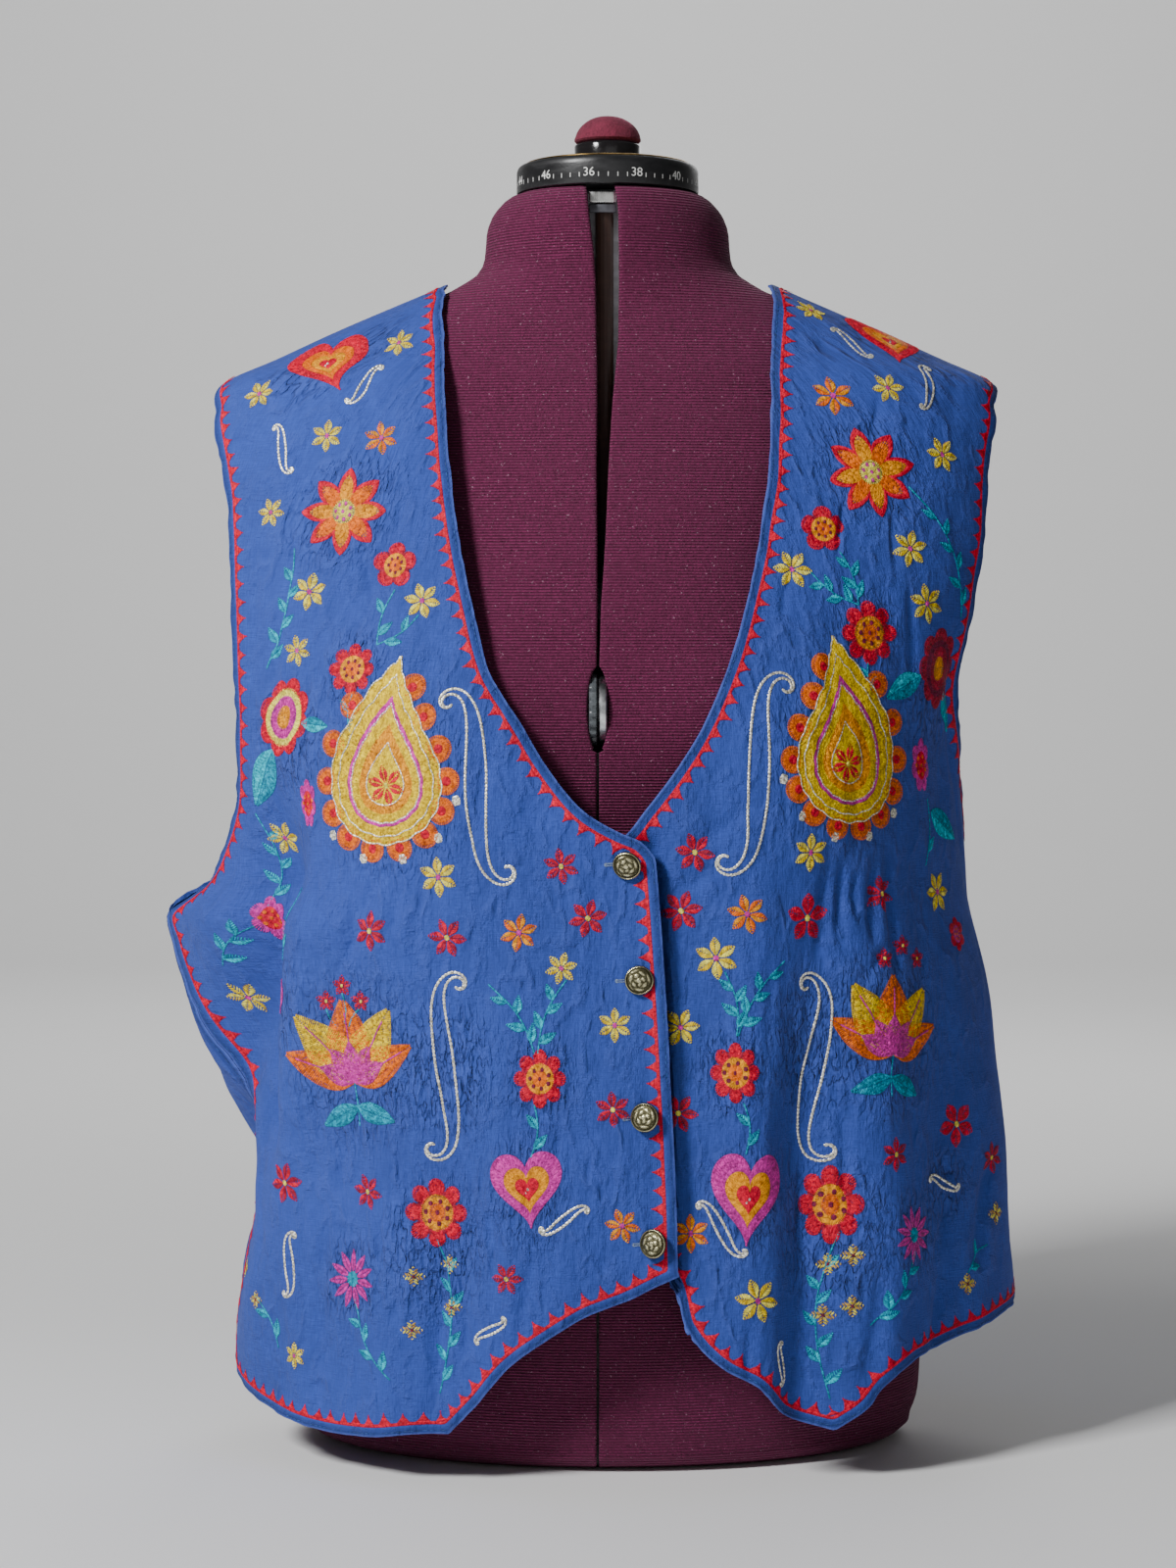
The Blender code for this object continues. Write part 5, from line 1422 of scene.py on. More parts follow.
# The first two threads fill the two halves of each petal, one lighter and one darker, as painted light and shade of the
# satin; the third is the knot.
STAR_THREADS = {
    "yellow": ("yellow", "pale_gold", "magenta"),
    "orange": ("amber", "orange", "magenta"),
    "red": ("red", "dark_red", "yellow"),
    "petals": ("red", "red", "yellow"),
}
FOURS_RIGHT = (  # azimuth, height, radius
    (-38.0, 0.1094, 5.1), (-32.3, 0.116, 5.1), (-38.4, 0.0813, 5.1), (-31.8, 0.0936, 5.1), (-77.2, 0.0995, 5.4),
    (-71.1, 0.0855, 4.8),
)
FOURS_LEFT = (
    (43.0, 0.1146, 5.7), (46.3, 0.1191, 5.7), (42.2, 0.0879, 5.7), (46.1, 0.0925, 5.7), (69.4, 0.0953, 5.8),
    (76.6, 0.13, 6.4),
)
SMALL_RIGHT = ((-52.2, 0.2519, 5.7), (-49.3, 0.2605, 5.7), (-46.4, 0.2526, 5.6))
SMALL_LEFT = ((53.2, 0.2739, 5.7), (57.5, 0.2799, 5.7), (61.0, 0.2724, 5.8))
FLOWERS_RIGHT = (  # azimuth, height, radius, edge, disc, dots, lobes, squash
    (-46.2, 0.4818, 12.4, "red", "amber", "maroon", 5, 1.0), (-49.1, 0.4268, 13.4, "red", "amber", "maroon", 8, 1.0),
    (-13.7, 0.2146, 14.8, "red", "amber", "maroon", 8, 0.88), (-34.3, 0.143, 17.4, "red", "amber", "maroon", 8, 0.88),
    (-57.2, 0.3556, 12.5, "magenta", "red", "orange", 7, 0.55),
    (-69.4, 0.2925, 11.6, "magenta", "red", "orange", 6, 0.66),
)
FLOWERS_LEFT = (
    (48.3, 0.5013, 12.5, "red", "amber", "maroon", 5, 1.0), (53.1, 0.4461, 16.8, "red", "amber", "maroon", 8, 1.0),
    (24.5, 0.2172, 15.2, "red", "amber", "maroon", 8, 0.76), (43.5, 0.1458, 20.0, "red", "amber", "maroon", 8, 0.7),
    (64.4, 0.3753, 14.2, "magenta", "red", "orange", 7, 0.6), (73.2, 0.283, 9.1, "red", "magenta", "orange", 6, 1.0),
)
HEARTS_RIGHT = (  # azimuth, height, radius, bands, turn, squash
    (-72.5, 0.5938, 26.0, "warm", 16, 0.92), (-16.1, 0.1567, 21.0, "cool", 6, 0.86),
    (-64.2, 0.25, 14.0, "cool", -8, 1.0),
)
HEARTS_LEFT = ((80.4, 0.6080, 25.0, "warm", -16, 0.92), (27.0, 0.1510, 25.5, "cool", -4, 0.72))
HEART_BANDS = {
    "warm": (("red", 1.0), ("orange", 0.62), ("amber", 0.40), ("red", 0.20)),
    "cool": (("magenta", 1.0), ("amber", 0.62), ("red", 0.32)),
}
SPRIGS_RIGHT = (  # azimuth and height of the foot, azimuth and height of the tip, leaves
    (-65.0, 0.4275, -63.6, 0.4916, 5), (-45.6, 0.4397, -45.0, 0.4687, 2), (-45.6, 0.4397, -39.3, 0.4551, 2),
    (-48.3, 0.3933, -48.4, 0.4139, 2), (-69.8, 0.2988, -70.0, 0.3491, 4), (-61.0, 0.272, -59.4, 0.3107, 2),
    (-14.8, 0.2277, -23.4, 0.2631, 3), (-14.1, 0.2277, -8.6, 0.2657, 3), (-15.5, 0.1735, -14.8, 0.2009, 2),
    (-41.9, 0.0548, -49.8, 0.0947, 3), (-34.1, 0.0484, -34.4, 0.1301, 6), (-76.8, 0.2654, -70.9, 0.2881, 3),
    (-66.2, 0.062, -71.1, 0.0876, 2), (-50.8, 0.2385, -52.3, 0.2477, 0), (-49.6, 0.2403, -49.4, 0.2564, 0),
    (-48.8, 0.2388, -46.9, 0.2484, 0),
)
SPRIGS_LEFT = (
    (51.7, 0.4611, 50.5, 0.4893, 3), (51.7, 0.4611, 44.2, 0.4786, 3), (71.7, 0.4552, 64.6, 0.5252, 5),
    (52.4, 0.4138, 52.3, 0.4305, 2), (24.7, 0.2366, 22.8, 0.2696, 3), (25.0, 0.2365, 34.0, 0.2745, 4),
    (26.4, 0.175, 25.9, 0.2014, 2), (42.8, 0.0445, 44.5, 0.1315, 6), (48.9, 0.0818, 57.2, 0.1186, 4),
    (69.5, 0.1006, 74.2, 0.1142, 2), (65.2, 0.3215, 66.1, 0.3573, 1),
)
LEAVES_RIGHT = ((-57.9, 0.3982, -52.6, 0.3968), (-64.0, 0.3839, -69.7, 0.3523))
LEAVES_LEFT = ((63.5, 0.4233, 55.5, 0.4112), (70.3, 0.4153, 75.6, 0.3923), (67.4, 0.3503, 75.9, 0.3343))
TENDRILS_RIGHT = (  # azimuth, height, length, turn, mirrored
    (-25.4, 0.366, 100.0, 2, True), (-31.6, 0.2202, 94.0, 8, False), (-63.6, 0.5815, 27.0, -20, False),
    (-69.8, 0.5466, 30.0, 15, True), (-8.9, 0.1415, 26.0, -50, False), (-23.4, 0.0833, 21.0, -65, True),
    (-63.8, 0.1078, 33.0, 10, False),
)
TENDRILS_LEFT = (
    (28.9, 0.3727, 104.0, -3, False), (41.1, 0.2184, 94.0, -10, True), (71.5, 0.606, 26.0, 20, True),
    (74.1, 0.5813, 30.0, -15, False), (22.2, 0.136, 33.0, 25, True), (33.9, 0.0643, 22.0, 15, False),
    (66.0, 0.1509, 22.0, 60, True),
)
LARGE_RIGHT = (  # kind, azimuth, height, size, turn
    ("sunflower", -57.2, 0.5112, 24.6, 0), ("oval", -61.4, 0.4013, 20.4, -20), ("paisley", -41.0, 0.366, 94.0, 14),
    ("tulip", -48.5, 0.21, 84.0, 6), ("daisy", -50.5, 0.1048, 16.1, 0),
)
LARGE_LEFT = (
    ("sunflower", 59.3, 0.5327, 25.8, 12), ("dark_oval", 68.0, 0.4275, 20.4, 0), ("paisley", 46.2, 0.377, 94.0, -14),
    ("tulip", 53.4, 0.224, 80.0, -6), ("daisy", 57.3, 0.1268, 15.6, 8),
)
LARGE_KINDS = {
    "sunflower": sunflower,
    "oval": oval_flower,
    "dark_oval": dark_oval_flower,
    "paisley": paisley,
    "tulip": tulip,
    "daisy": daisy,
}


def front_motifs(stars, fours, small, flowers, hearts, sprigs, leaves, tendrils, large):
    """Every motif of one front, as stitches placed on the wrap."""
    found = []
    for number, (*ends, count) in enumerate(sprigs):
        found.append(placed(sprig(*between_places(*ends), count, number), *ends[:2]))
    for ends in leaves:
        x, y = between_places(*ends)
        leaf = petal(math.hypot(x, y), 0.40 * math.hypot(x, y), ("pale_teal", "teal"))
        found.append(placed(moved(leaf, turn=math.degrees(math.atan2(-x, y))), *ends[:2]))
    for kind, azimuth, height, size, turn in large:
        found.append(placed(moved(LARGE_KINDS[kind](size), turn=turn, mirror=azimuth > 0.0), azimuth, height))
    for azimuth, height, *kind in flowers:
        found.append(placed(round_flower(*kind), azimuth, height))
    for azimuth, height, radius, bands, turn, squash in hearts:
        found.append(placed(moved(heart(radius, HEART_BANDS[bands], squash), turn=turn), azimuth, height))
    for azimuth, height, length, turn, mirrored in tendrils:
        found.append(placed(moved(tendril(length, 0.085 * length + 2.0), turn=turn, mirror=mirrored), azimuth, height))
    for azimuth, height, radius, colour, turn in stars:
        count, full = (5, 0.56) if colour == "petals" else (6, 0.44)
        found.append(placed(moved(star(radius, *STAR_THREADS[colour], count, full), turn=turn), azimuth, height))
    small_kinds = ((fours, ("ochre", "yellow", "maroon", 4, 0.72)), (small, ("red", "dark_red", "yellow", 5, 0.60)))
    for table, kind in small_kinds:
        found += [placed(star(radius, *kind), azimuth, height) for azimuth, height, radius in table]
    return np.concatenate(found)


# Buttons and buttonholes.


def button_relief(turn, radius):
    """The pressed pattern of a button, from 0 in its hollows to 1 on its relief."""
    curl = turn + 1.3 * math.sin(4.0 * radius + 0.6)
    leaves = abs(math.cos(2.0 * curl)) ** 1.5 * eased(0.12, 0.26, radius) * (1.0 - eased(0.70, 0.80, radius))
    veins = 0.55 + 0.45 * math.cos(17.0 * radius + 3.0 * turn)
    boss = 1.0 - eased(0.10, 0.18, radius)
    rim = math.exp(-(((radius - 0.93) / 0.035) ** 2))
    return min(1.0, leaves * veins + boss + rim)


BUTTON_RIM = (  # from the dome round to the foot of the shank, as shares of the radius and the height
    (0.845, 0.68), (0.875, 0.70), (0.91, 0.715), (0.95, 0.68), (0.985, 0.60), (1.0, 0.48), (0.985, 0.36), (0.93, 0.29),
    (0.66, 0.22), (0.62, 0.0), (0.0, 0.0),
)
BUTTON_TILTS = (  # degrees, axis, how far out of the cloth
    (20.0, (0.8, 0.1, -0.6), 0.0017), (4.0, (0.8, 0.1, -0.6), 0.0007), (-20.0, (0.25, 0.0, 1.0), 0.0017),
    (-23.0, (0.1, 0.0, 1.0), 0.0019),
)


def button(number, distance, height):
    """A domed button of pressed brass, lying on the right front; the top one hangs a little askew."""
    azimuth = azimuth_at(np.array([distance]), np.array([height]))
    seat, out = (part[0] for part in cloth_frame(azimuth, np.array([height]), 1))
    r, h = BUTTON_RADIUS, BUTTON_HEIGHT
    dome = [(r * q, h * (1.0 - 0.34 * q**2.2)) for q in np.linspace(0.0, 0.82, 17)]
    bm = bmesh.new()
    revolved(bm, (dome + [(out * r, up * h) for out, up in BUTTON_RIM])[::-1], 96)
    relief = []
    for v in bm.verts:
        away = math.hypot(v.co.x, v.co.y)
        high = float(button_relief(math.atan2(v.co.y, v.co.x), away / r)) if v.co.z > 0.45 * h else 0.0
        v.co.z += 0.00042 * (high - 0.5) if v.co.z > 0.64 * h else 0.0
        relief.append(high)
    out = Vector(out)
    tilt, axis, out_of_cloth = BUTTON_TILTS[number - 1]
    askew = Matrix.Rotation(math.radians(tilt), 3, Vector(axis))
    out = askew @ out
    place = Matrix.Translation(Vector(seat) + out_of_cloth * out) @ out.to_track_quat("Z", "Y").to_matrix().to_4x4()
    bmesh.ops.transform(bm, matrix=place, verts=bm.verts[:])
    piece = finished(f"button_{number}_pressed", bm, [old_brass_relief()])
    written(piece, "relief", "FLOAT", "value", relief)
    return rider(piece, "old_brass", f"button_{number}")


def buttonhole(distance, height):
    """A worked buttonhole, its slit running from the button away from the front edge."""
    start, length, half = -2.0, 9.5, 0.8
    at = np.arange(0.0, length, 0.52)
    sides = [np.stack([start - at, np.full(len(at), 0.15 * way)], axis=-1) for way in (-1.0, 1.0)]
    turn = np.linspace(-math.pi / 2, math.pi / 2, 7)
    bar = np.stack([start - length - 0.1 * np.cos(turn), 0.2 * np.sin(turn)], axis=-1)
    reaches = ((0.0, -half), (0.0, half), np.stack([-np.cos(turn), np.sin(turn)], axis=-1))
    found = [rows(line, line + reach, "pale_blue", 0.5, 0.30) for line, reach in zip(sides + [bar], reaches)]
    azimuth = azimuth_at(np.array([distance]), np.array([height]))[0]
    return placed(moved(np.concatenate(found), turn=4.0), azimuth, height)


# The dress form.

WHEEL_SLOT = (0.40575, 0.0215, 0.0048)  # middle, half length and half width of the lips' opening round the wheel


def lip_ring(height):
    """The ring round the form at one height: from the back of the split out over its lip, round the form and back."""
    knots = column(FORM_RINGS, 0)
    half_width, front, rear = (float(np.interp(height, knots, column(FORM_RINGS, i))) for i in (1, 2, 3))
    if height not in knots:
        half_width, front, rear = (float(through(knots, column(FORM_RINGS, i), height)) for i in (1, 2, 3))
    middle, mouth, inside, depth = (
        float(np.interp(height, column(SPLIT, 0), column(SPLIT, i))) for i in (1, 2, 3, 4)
    )
    along_wheel = (height - WHEEL_SLOT[0]) / WHEEL_SLOT[1]
    if abs(along_wheel) < 1.0:
        mouth = 0.0006 + WHEEL_SLOT[2] * math.sqrt(1.0 - along_wheel**2)
    lip = min(0.0017, depth / 2.4)
    sides = []
    for way in (1.0, -1.0):
        start = math.degrees(math.asin((middle * way + mouth + lip) / front))
        azimuth = way * np.concatenate([start + np.arange(0.0, 9.0, 1.5), np.linspace(start + 9.0, 180.0, 88)])
        depths = np.where(np.cos(np.radians(azimuth)) > 0.0, front, rear)
        radius = oval(azimuth, half_width, depths) + bulges(FORM_BUST, azimuth, height)
        turn = np.radians(azimuth)
        outer = np.stack([radius * np.sin(turn), -radius * np.cos(turn)], axis=-1)
        curl = np.radians(np.array((90.0, 60.0, 30.0, 0.0)))
        x0, y0 = middle + way * (mouth + lip), outer[0, 1]
        rolled = np.stack([x0 - way * lip * np.cos(curl), y0 + lip * (1.0 - np.sin(curl))], axis=-1)
        deep = y0 + max(depth, lip + 0.0004)
        hollow = [
            (middle + way * inside, y0 + lip + 0.25 * (deep - y0 - lip)),
            (middle + way * inside, y0 + lip + 0.6 * (deep - y0 - lip)),
            (middle + way * inside, deep - 0.0001),
            (middle + way * 0.5 * inside, deep),
            (middle, deep),
        ]
        sides.append(np.concatenate([np.array(hollow[::-1]), rolled[::-1], outer[1:]]))
    return np.concatenate([sides[0], sides[1][::-1][1:]])


def form_torso():
    """The form's body: rings from the floor to the top of the neck, split down the front with rolled lips; inside the
    split its walls are grey shell above and black below, as painted shade.
    """
    knots = column(FORM_RINGS, 0)
    slot = WHEEL_SLOT[0] + WHEEL_SLOT[1] * np.sin(np.linspace(-math.pi / 2, math.pi / 2, 25))
    heights = np.unique(np.round(np.concatenate([knots, slot, np.arange(0.0, NECK_TOP, 0.0045)]), 5))
    close = np.concatenate([[True], np.diff(heights) > 0.0006])
    heights = np.array([h for h, kept in zip(heights, close) if kept or h in knots])
    rings = np.array([lip_ring(height) for height in heights])
    columns, rows_up = rings.shape[1] - 1, len(heights) - 1
    bm = bmesh.new()
    bmesh.ops.create_grid(bm, x_segments=columns, y_segments=rows_up, size=0.5)
    inside = set(range(0, 4)) | set(range(columns - 4, columns))
    for face in bm.faces:
        i = int((face.calc_center_median().x + 0.5) * columns)
        # Painted shade: the split's walls are grey shell in its upper part and black lower down, where the narrow split
        # lies in shade.
        face.material_index = (1 if face.calc_center_median().y > 0.14 else 2) if i in inside else 0
    for v in bm.verts:
        i, j = round((v.co.x + 0.5) * columns), round((v.co.y + 0.5) * rows_up)
        v.co = (*rings[j, i], heights[j])
    bmesh.ops.remove_doubles(bm, verts=bm.verts[:], dist=1e-6)
    made = bmesh.ops.holes_fill(bm, edges=[e for e in bm.edges if e.is_boundary], sides=0)
    bmesh.ops.triangulate(bm, faces=made["faces"])
    shell = moulded("grey_shell", (0.420, 0.420, 0.440), 0.38, 500.0, 0.0002)
    # Black for the lower walls of the split: painted shade.
    black = moulded("slot_black", (0.012, 0.010, 0.011), 0.60)
    return rider(finished("form_knit_body", bm, [jersey(), shell, black], 55.0), "knit", "form_torso")


def knob_cushion():
    """The velvet top of the neck knob, crowned and a little uneven."""
    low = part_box("form_knob_cushion")[0][2]
    bm = bmesh.new()
    dome = [(0.0, low), (KNOB_RADIUS - 0.0030, low), (KNOB_RADIUS - 0.0010, low + 0.0006)] + [
        (KNOB_RADIUS * math.cos(a) ** 0.92, low + 0.0016 + (KNOB_CUSHION - 0.0016) * math.sin(a) ** 1.02)
        for a in np.linspace(0.0, math.pi / 2, 19)[:-1]
    ] + [(0.0, low + KNOB_CUSHION)]
    revolved(bm, dome, 64)
    for v in bm.verts:
        if v.co.z > low + 0.003:
            turn = math.atan2(v.co.y, v.co.x)
            dents = 0.00030 * math.sin(3.0 * turn + 0.7) * math.sin(160.0 * (v.co.z - low))
            uneven = 1.0 - 0.012 + (dents + 0.00015 * math.sin(7.0 * turn)) / KNOB_RADIUS
            v.co.x, v.co.y = v.co.x * uneven, v.co.y * uneven
    piece = rider(finished("form_knob_velvet", bm, [velvet()]), "velvet", "form_knob_cushion")
    return piece


def dial_marks():
    """Numbers and ticks printed round the neck dial."""
    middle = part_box("form_dial")[0][2] + 0.5 * DIAL_SIDE + 0.0004
    bm = bmesh.new()
    for step in range(60):
        turn = 6.0 * step
        if step % 5 == 0:
            written_number = bpy.data.curves.new("number", "FONT")
            written_number.body = str(36 + 2 * (step // 5 % 6))
            written_number.size, written_number.extrude = 0.0068, 0.00006
            written_number.align_x, written_number.align_y = "CENTER", "CENTER"
            text = bpy.data.objects.new("number", written_number)
            flat = bpy.data.meshes.new_from_object(text)
            added = bmesh.new()
            added.from_mesh(flat)
            bpy.data.objects.remove(text)
            bpy.data.curves.remove(written_number)
        else:
            flat = bpy.data.meshes.new("tick")
            added = bmesh.new()
            bmesh.ops.create_grid(added, x_segments=1, y_segments=1, size=0.5)
            bmesh.ops.scale(added, vec=(0.00045, 0.0024, 1.0), verts=added.verts[:])
            bmesh.ops.translate(added, vec=(0.0, -0.0012, 0.0), verts=added.verts[:])
            made = bmesh.ops.extrude_face_region(added, geom=added.faces[:])
            lifted = [v for v in made["geom"] if isinstance(v, bmesh.types.BMVert)]
            bmesh.ops.translate(added, vec=(0.0, 0.0, 0.00006), verts=lifted)
        for v in added.verts:
            a = math.radians(turn - 12.0) + v.co.x / DIAL_RADIUS
            out = DIAL_RADIUS + 0.00004 + 0.6 * v.co.z
            v.co = (out * math.sin(a), -out * math.cos(a), middle + v.co.y)
        added.to_mesh(flat)
        added.free()
        bm.from_mesh(flat)
        bpy.data.meshes.remove(flat)
    bmesh.ops.remove_doubles(bm, verts=bm.verts[:], dist=1e-7)
    return rider(finished("form_dial_marks", bm, [moulded("dial_print", (0.62, 0.62, 0.60), 0.5)]), "pale_metal")


def turned_piece(name, profile, steps, finish, slot, node):
    """A finely turned piece that stands for a node of the form."""
    bm = bmesh.new()
    revolved(bm, profile, steps)
    return rider(finished(name, bm, [finish]), slot, node)


def neck_dial():
    """The black dial with its rounded shoulder, the gold plate on it and the glossy collar under the knob."""
    low, high = (corner[2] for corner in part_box("form_dial"))
    shoulder = low + DIAL_SIDE
    r, edge = DIAL_RADIUS, 0.0468
    profile = [(0.0, low), (r - 0.0012, low), (r - 0.0003, low + 0.0004), (r, low + 0.0012), (r, shoulder)]
    profile += [
        (r - 0.0024 * (1.0 - math.cos(a)), shoulder + (high - shoulder) * math.sin(a))
        for a in np.linspace(0.12, math.pi / 2, 7)
    ]
    profile += [(edge + 0.0005, high), (edge, high - 0.0003), (0.0, high - 0.0003)]
    black = moulded("dial_black", (0.011, 0.011, 0.012), 0.34)
    turned_piece("form_dial_drum", profile, 128, black, "black_plastic", "form_dial")
    low, high = (corner[2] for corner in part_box("form_dial_plate"))
    profile = [(0.0, low), (edge - 0.0003, low), (edge, low + 0.0003), (edge, high - 0.0003), (edge - 0.0004, high)]
    profile += [(edge - 0.0030, high), (edge - 0.0034, high - 0.0002), (0.0, high - 0.0002)]
    gold = plated("plate_gold", (0.62, 0.40, 0.14), 0.26)
    turned_piece("form_gold_plate", profile, 128, gold, "gold_trim", "form_dial_plate")
    low, high = (corner[2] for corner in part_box("form_knob_collar"))
    r = KNOB_RADIUS
    profile = [(0.0, low), (r - 0.0006, low), (r, low + 0.0008), (r - 0.0003, low + 0.4 * (high - low))]
    profile += [(r, high - 0.0016), (r - 0.0003, high - 0.0007), (r - 0.0011, high), (0.0, high)]
    gloss = moulded("collar_black", (0.010, 0.009, 0.010), 0.12)
    turned_piece("form_glossy_collar", profile, 96, gloss, "black_plastic", "form_knob_collar")


def thumb_wheel():
    """The wheel in the split: a toothed black disc and a plain one with a worn metal rim."""
    low, high = (Vector(corner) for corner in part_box("form_wheel"))
    middle, radius, half, gap = (low + high) / 2, (high.z - low.z) / 2, (high.x - low.x) / 2, 0.0005
    bm = bmesh.new()
    profile = [(0.0, -half), (0.90 * radius, -half), (0.93 * radius, 0.0003 - half), (0.97 * radius, 0.0012 - half)]
    profile += [(radius, 0.0018 - half), (radius, -gap - 0.0006), (0.97 * radius, -gap), (0.35 * radius, -gap)]
    profile += [(0.35 * radius, gap), (0.94 * radius, gap), (0.97 * radius, gap + 0.0006), (0.975 * radius, half / 2)]
    profile += [(0.96 * radius, half - 0.0006), (0.93 * radius, half), (0.0, half)]
    revolved(bm, profile, 160)
    for v in bm.verts:
        away, turn = math.hypot(v.co.x, v.co.y), math.atan2(v.co.y, v.co.x)
        if v.co.z < -gap and away > 0.955 * radius:
            notch = 1.0 - 0.055 * (0.5 + 0.5 * math.tanh(4.0 * math.cos(20.0 * turn)))
            v.co.x, v.co.y = v.co.x * notch, v.co.y * notch
    for face in bm.faces:
        at = face.calc_center_median()
        face.material_index = int(at.z > gap and math.hypot(at.x, at.y) > 0.90 * radius)
    bmesh.ops.transform(
        bm, matrix=Matrix.Translation(middle) @ Matrix.Rotation(math.pi / 2, 4, "Y"), verts=bm.verts[:]
    )
    black = moulded("wheel_black", (0.060, 0.068, 0.074), 0.34)
    rim = plated("wheel_rim", (0.78, 0.80, 0.82), 0.26, (40.0, 40.0, 60.0), 0.16)
    rider(finished("form_thumb_wheel", bm, [black, rim], 30.0), "black_plastic", "form_wheel")


def steel_bracket():
    """The bright steel block at the top of the split, with a darker, flanged foot."""
    low, high = (Vector(corner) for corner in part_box("form_bracket"))
    size, middle = high - low, (low + high) / 2
    bm = bmesh.new()
    for share, level, deep in ((0.52, 0.24, 1.0), (0.40, -0.28, 0.8)):
        made = bmesh.ops.create_cube(bm, size=1.0)
        bmesh.ops.scale(bm, vec=(size.x, size.y * deep, size.z * share), verts=made["verts"])
        bmesh.ops.translate(bm, vec=(middle.x, middle.y, middle.z + level * size.z), verts=made["verts"])
        edges = list({e for v in made["verts"] for e in v.link_edges})
        bmesh.ops.bevel(bm, geom=edges, affect="EDGES", offset=0.0006, segments=3, profile=0.5, material=-1)
    for face in bm.faces:
        face.material_index = int(face.calc_center_median().z < middle.z - 0.03 * size.z)
    bright = plated("bracket_bright", (0.86, 0.86, 0.84), 0.24, (400.0, 20.0, 20.0), 0.7)
    dull = plated("bracket_dull", (0.16, 0.16, 0.18), 0.42, (400.0, 20.0, 20.0), 0.5)
    rider(finished("form_steel_bracket", bm, [bright, dull]), "pale_metal", "form_bracket")


def post_finish():
    """The brown finish of the post, whose turned solid stays."""
    brown = moulded("post_brown", (0.055, 0.026, 0.018), 0.45)
    for place in bpy.data.objects["form_post"].material_slots:
        place.material = brown


# The stage.


def floor_and_backdrop():
    """A pale floor that rises in a soft curve to a pale backdrop."""
    bend = [(3.2 + 1.3 * math.sin(a), 1.3 - 1.3 * math.cos(a)) for a in np.linspace(0.0, math.pi / 2, 17)]
    bm = bmesh.new()
    line = [bm.verts.new((-9.0, y, z)) for y, z in [(-9.0, 0.0)] + bend + [(4.5, 7.0)]]
    edges = [bm.edges.new(pair) for pair in zip(line, line[1:])]
    made = bmesh.ops.extrude_edge_only(bm, edges=edges)
    bmesh.ops.translate(bm, vec=(18.0, 0, 0), verts=[v for v in made["geom"] if isinstance(v, bmesh.types.BMVert)])
    mesh = bpy.data.meshes.new("floor_and_backdrop")
    bm.to_mesh(mesh)
    bm.free()
    mesh.shade_smooth()
    stage = bpy.data.objects.new("floor_and_backdrop", mesh)
    bpy.context.scene.collection.objects.link(stage)
    look = Look("backdrop_paper", tuple(settings("stage").backdrop_colour), 0.9)
    mesh.materials.append(look.made)


def lamp(name, place, aim, size, watts):
    """A rectangular light at a place, turned towards another."""
    data = bpy.data.lights.new(name, "AREA")
    data.shape, data.size, data.size_y, data.energy = "RECTANGLE", *size, watts
    made = bpy.data.objects.new(name, data)
    made.location = place
    made.rotation_euler = (Vector(aim) - Vector(place)).to_track_quat("-Z", "Y").to_euler()
    bpy.context.scene.collection.objects.link(made)


LAMPS = (  # name, place, what it is aimed at, width and height, watts
    ("key_light", (-1.50, -1.60, 1.80), (0.0, 0.0, 0.36), (0.5, 0.5), 92.0),
    ("fill_light", (0.5, -2.3, 0.7), (0.0, 0.0, 0.36), (1.6, 1.6), 3.4),
    ("rim_light", (0.6, 1.7, 1.5), (0.0, 0.0, 0.45), (1.2, 1.2), 8.0),
    ("backdrop_light", (0.0, 1.4, 2.6), (0.0, 4.4, 1.4), (2.4, 0.8), 72.0),
)
ALL_ROUND = 0.09
CAMERA_AWAY, VIEW_WIDTH, FILM_WIDTH = 1.9, 0.66, 27.0  # metres, metres at the middle of the form, millimetres


def lights_and_camera():
    """Four lights, an even light all round and the camera in front of the form."""
    brightness = settings("stage").brightness
    for name, place, aim, size, watts in LAMPS:
        lamp(name, place, aim, size, watts * brightness)
    world = bpy.data.worlds.new("studio")
    world.use_nodes = True
    background = world.node_tree.nodes["Background"].inputs
    background["Color"].default_value = (1.0, 1.0, 1.0, 1.0)
    background["Strength"].default_value = ALL_ROUND * brightness
    bpy.context.scene.world = world
    data = bpy.data.cameras.new("camera")
    data.sensor_fit, data.sensor_width = "HORIZONTAL", FILM_WIDTH
    data.lens, data.shift_y = CAMERA_AWAY / VIEW_WIDTH * FILM_WIDTH, -100.0 / 1200.0
    data.clip_start, data.clip_end = 0.05, 60.0
    camera = bpy.data.objects.new("camera", data)
    camera.location = (-0.011, -CAMERA_AWAY, 0.418)
    camera.rotation_euler = (math.pi / 2, 0.0, 0.0)
    bpy.context.scene.collection.objects.link(camera)
    bpy.context.scene.camera = camera


# Settings.


def length_prop(name, description, default, least, most):
    return FloatProperty(name=name, description=description, default=default, min=least, max=most, unit="LENGTH")


def factor_prop(name, description, default, least, most):
    return FloatProperty(name=name, description=description, default=default, min=least, max=most, subtype="FACTOR")


def colour_prop(name, description, default):
    return FloatVectorProperty(
        name=name, description=description, default=default, min=0.0, max=1.0, subtype="COLOR"
    )


def thread_colour(name, shade):
    return colour_prop(name, f"Colour of the {name.lower()} thread", shade)


class ClothSettings(bpy.types.PropertyGroup):
    """Sizes and colour of the cloth."""

    thickness: length_prop("Thickness", "Thickness of the cloth with its lining", 0.0012, 0.0008, 0.003)
    crease_depth: factor_prop("Crease depth", "How deep the creases and puckers are pressed", 1.9, 0.0, 2.5)
    colour: colour_prop("Colour", "Colour of the cotton", (0.034, 0.072, 0.350))
    fineness: IntProperty(
        name="Fineness", description="Steps of the finished cloth for each step of its cut", default=7, min=2, max=7
    )


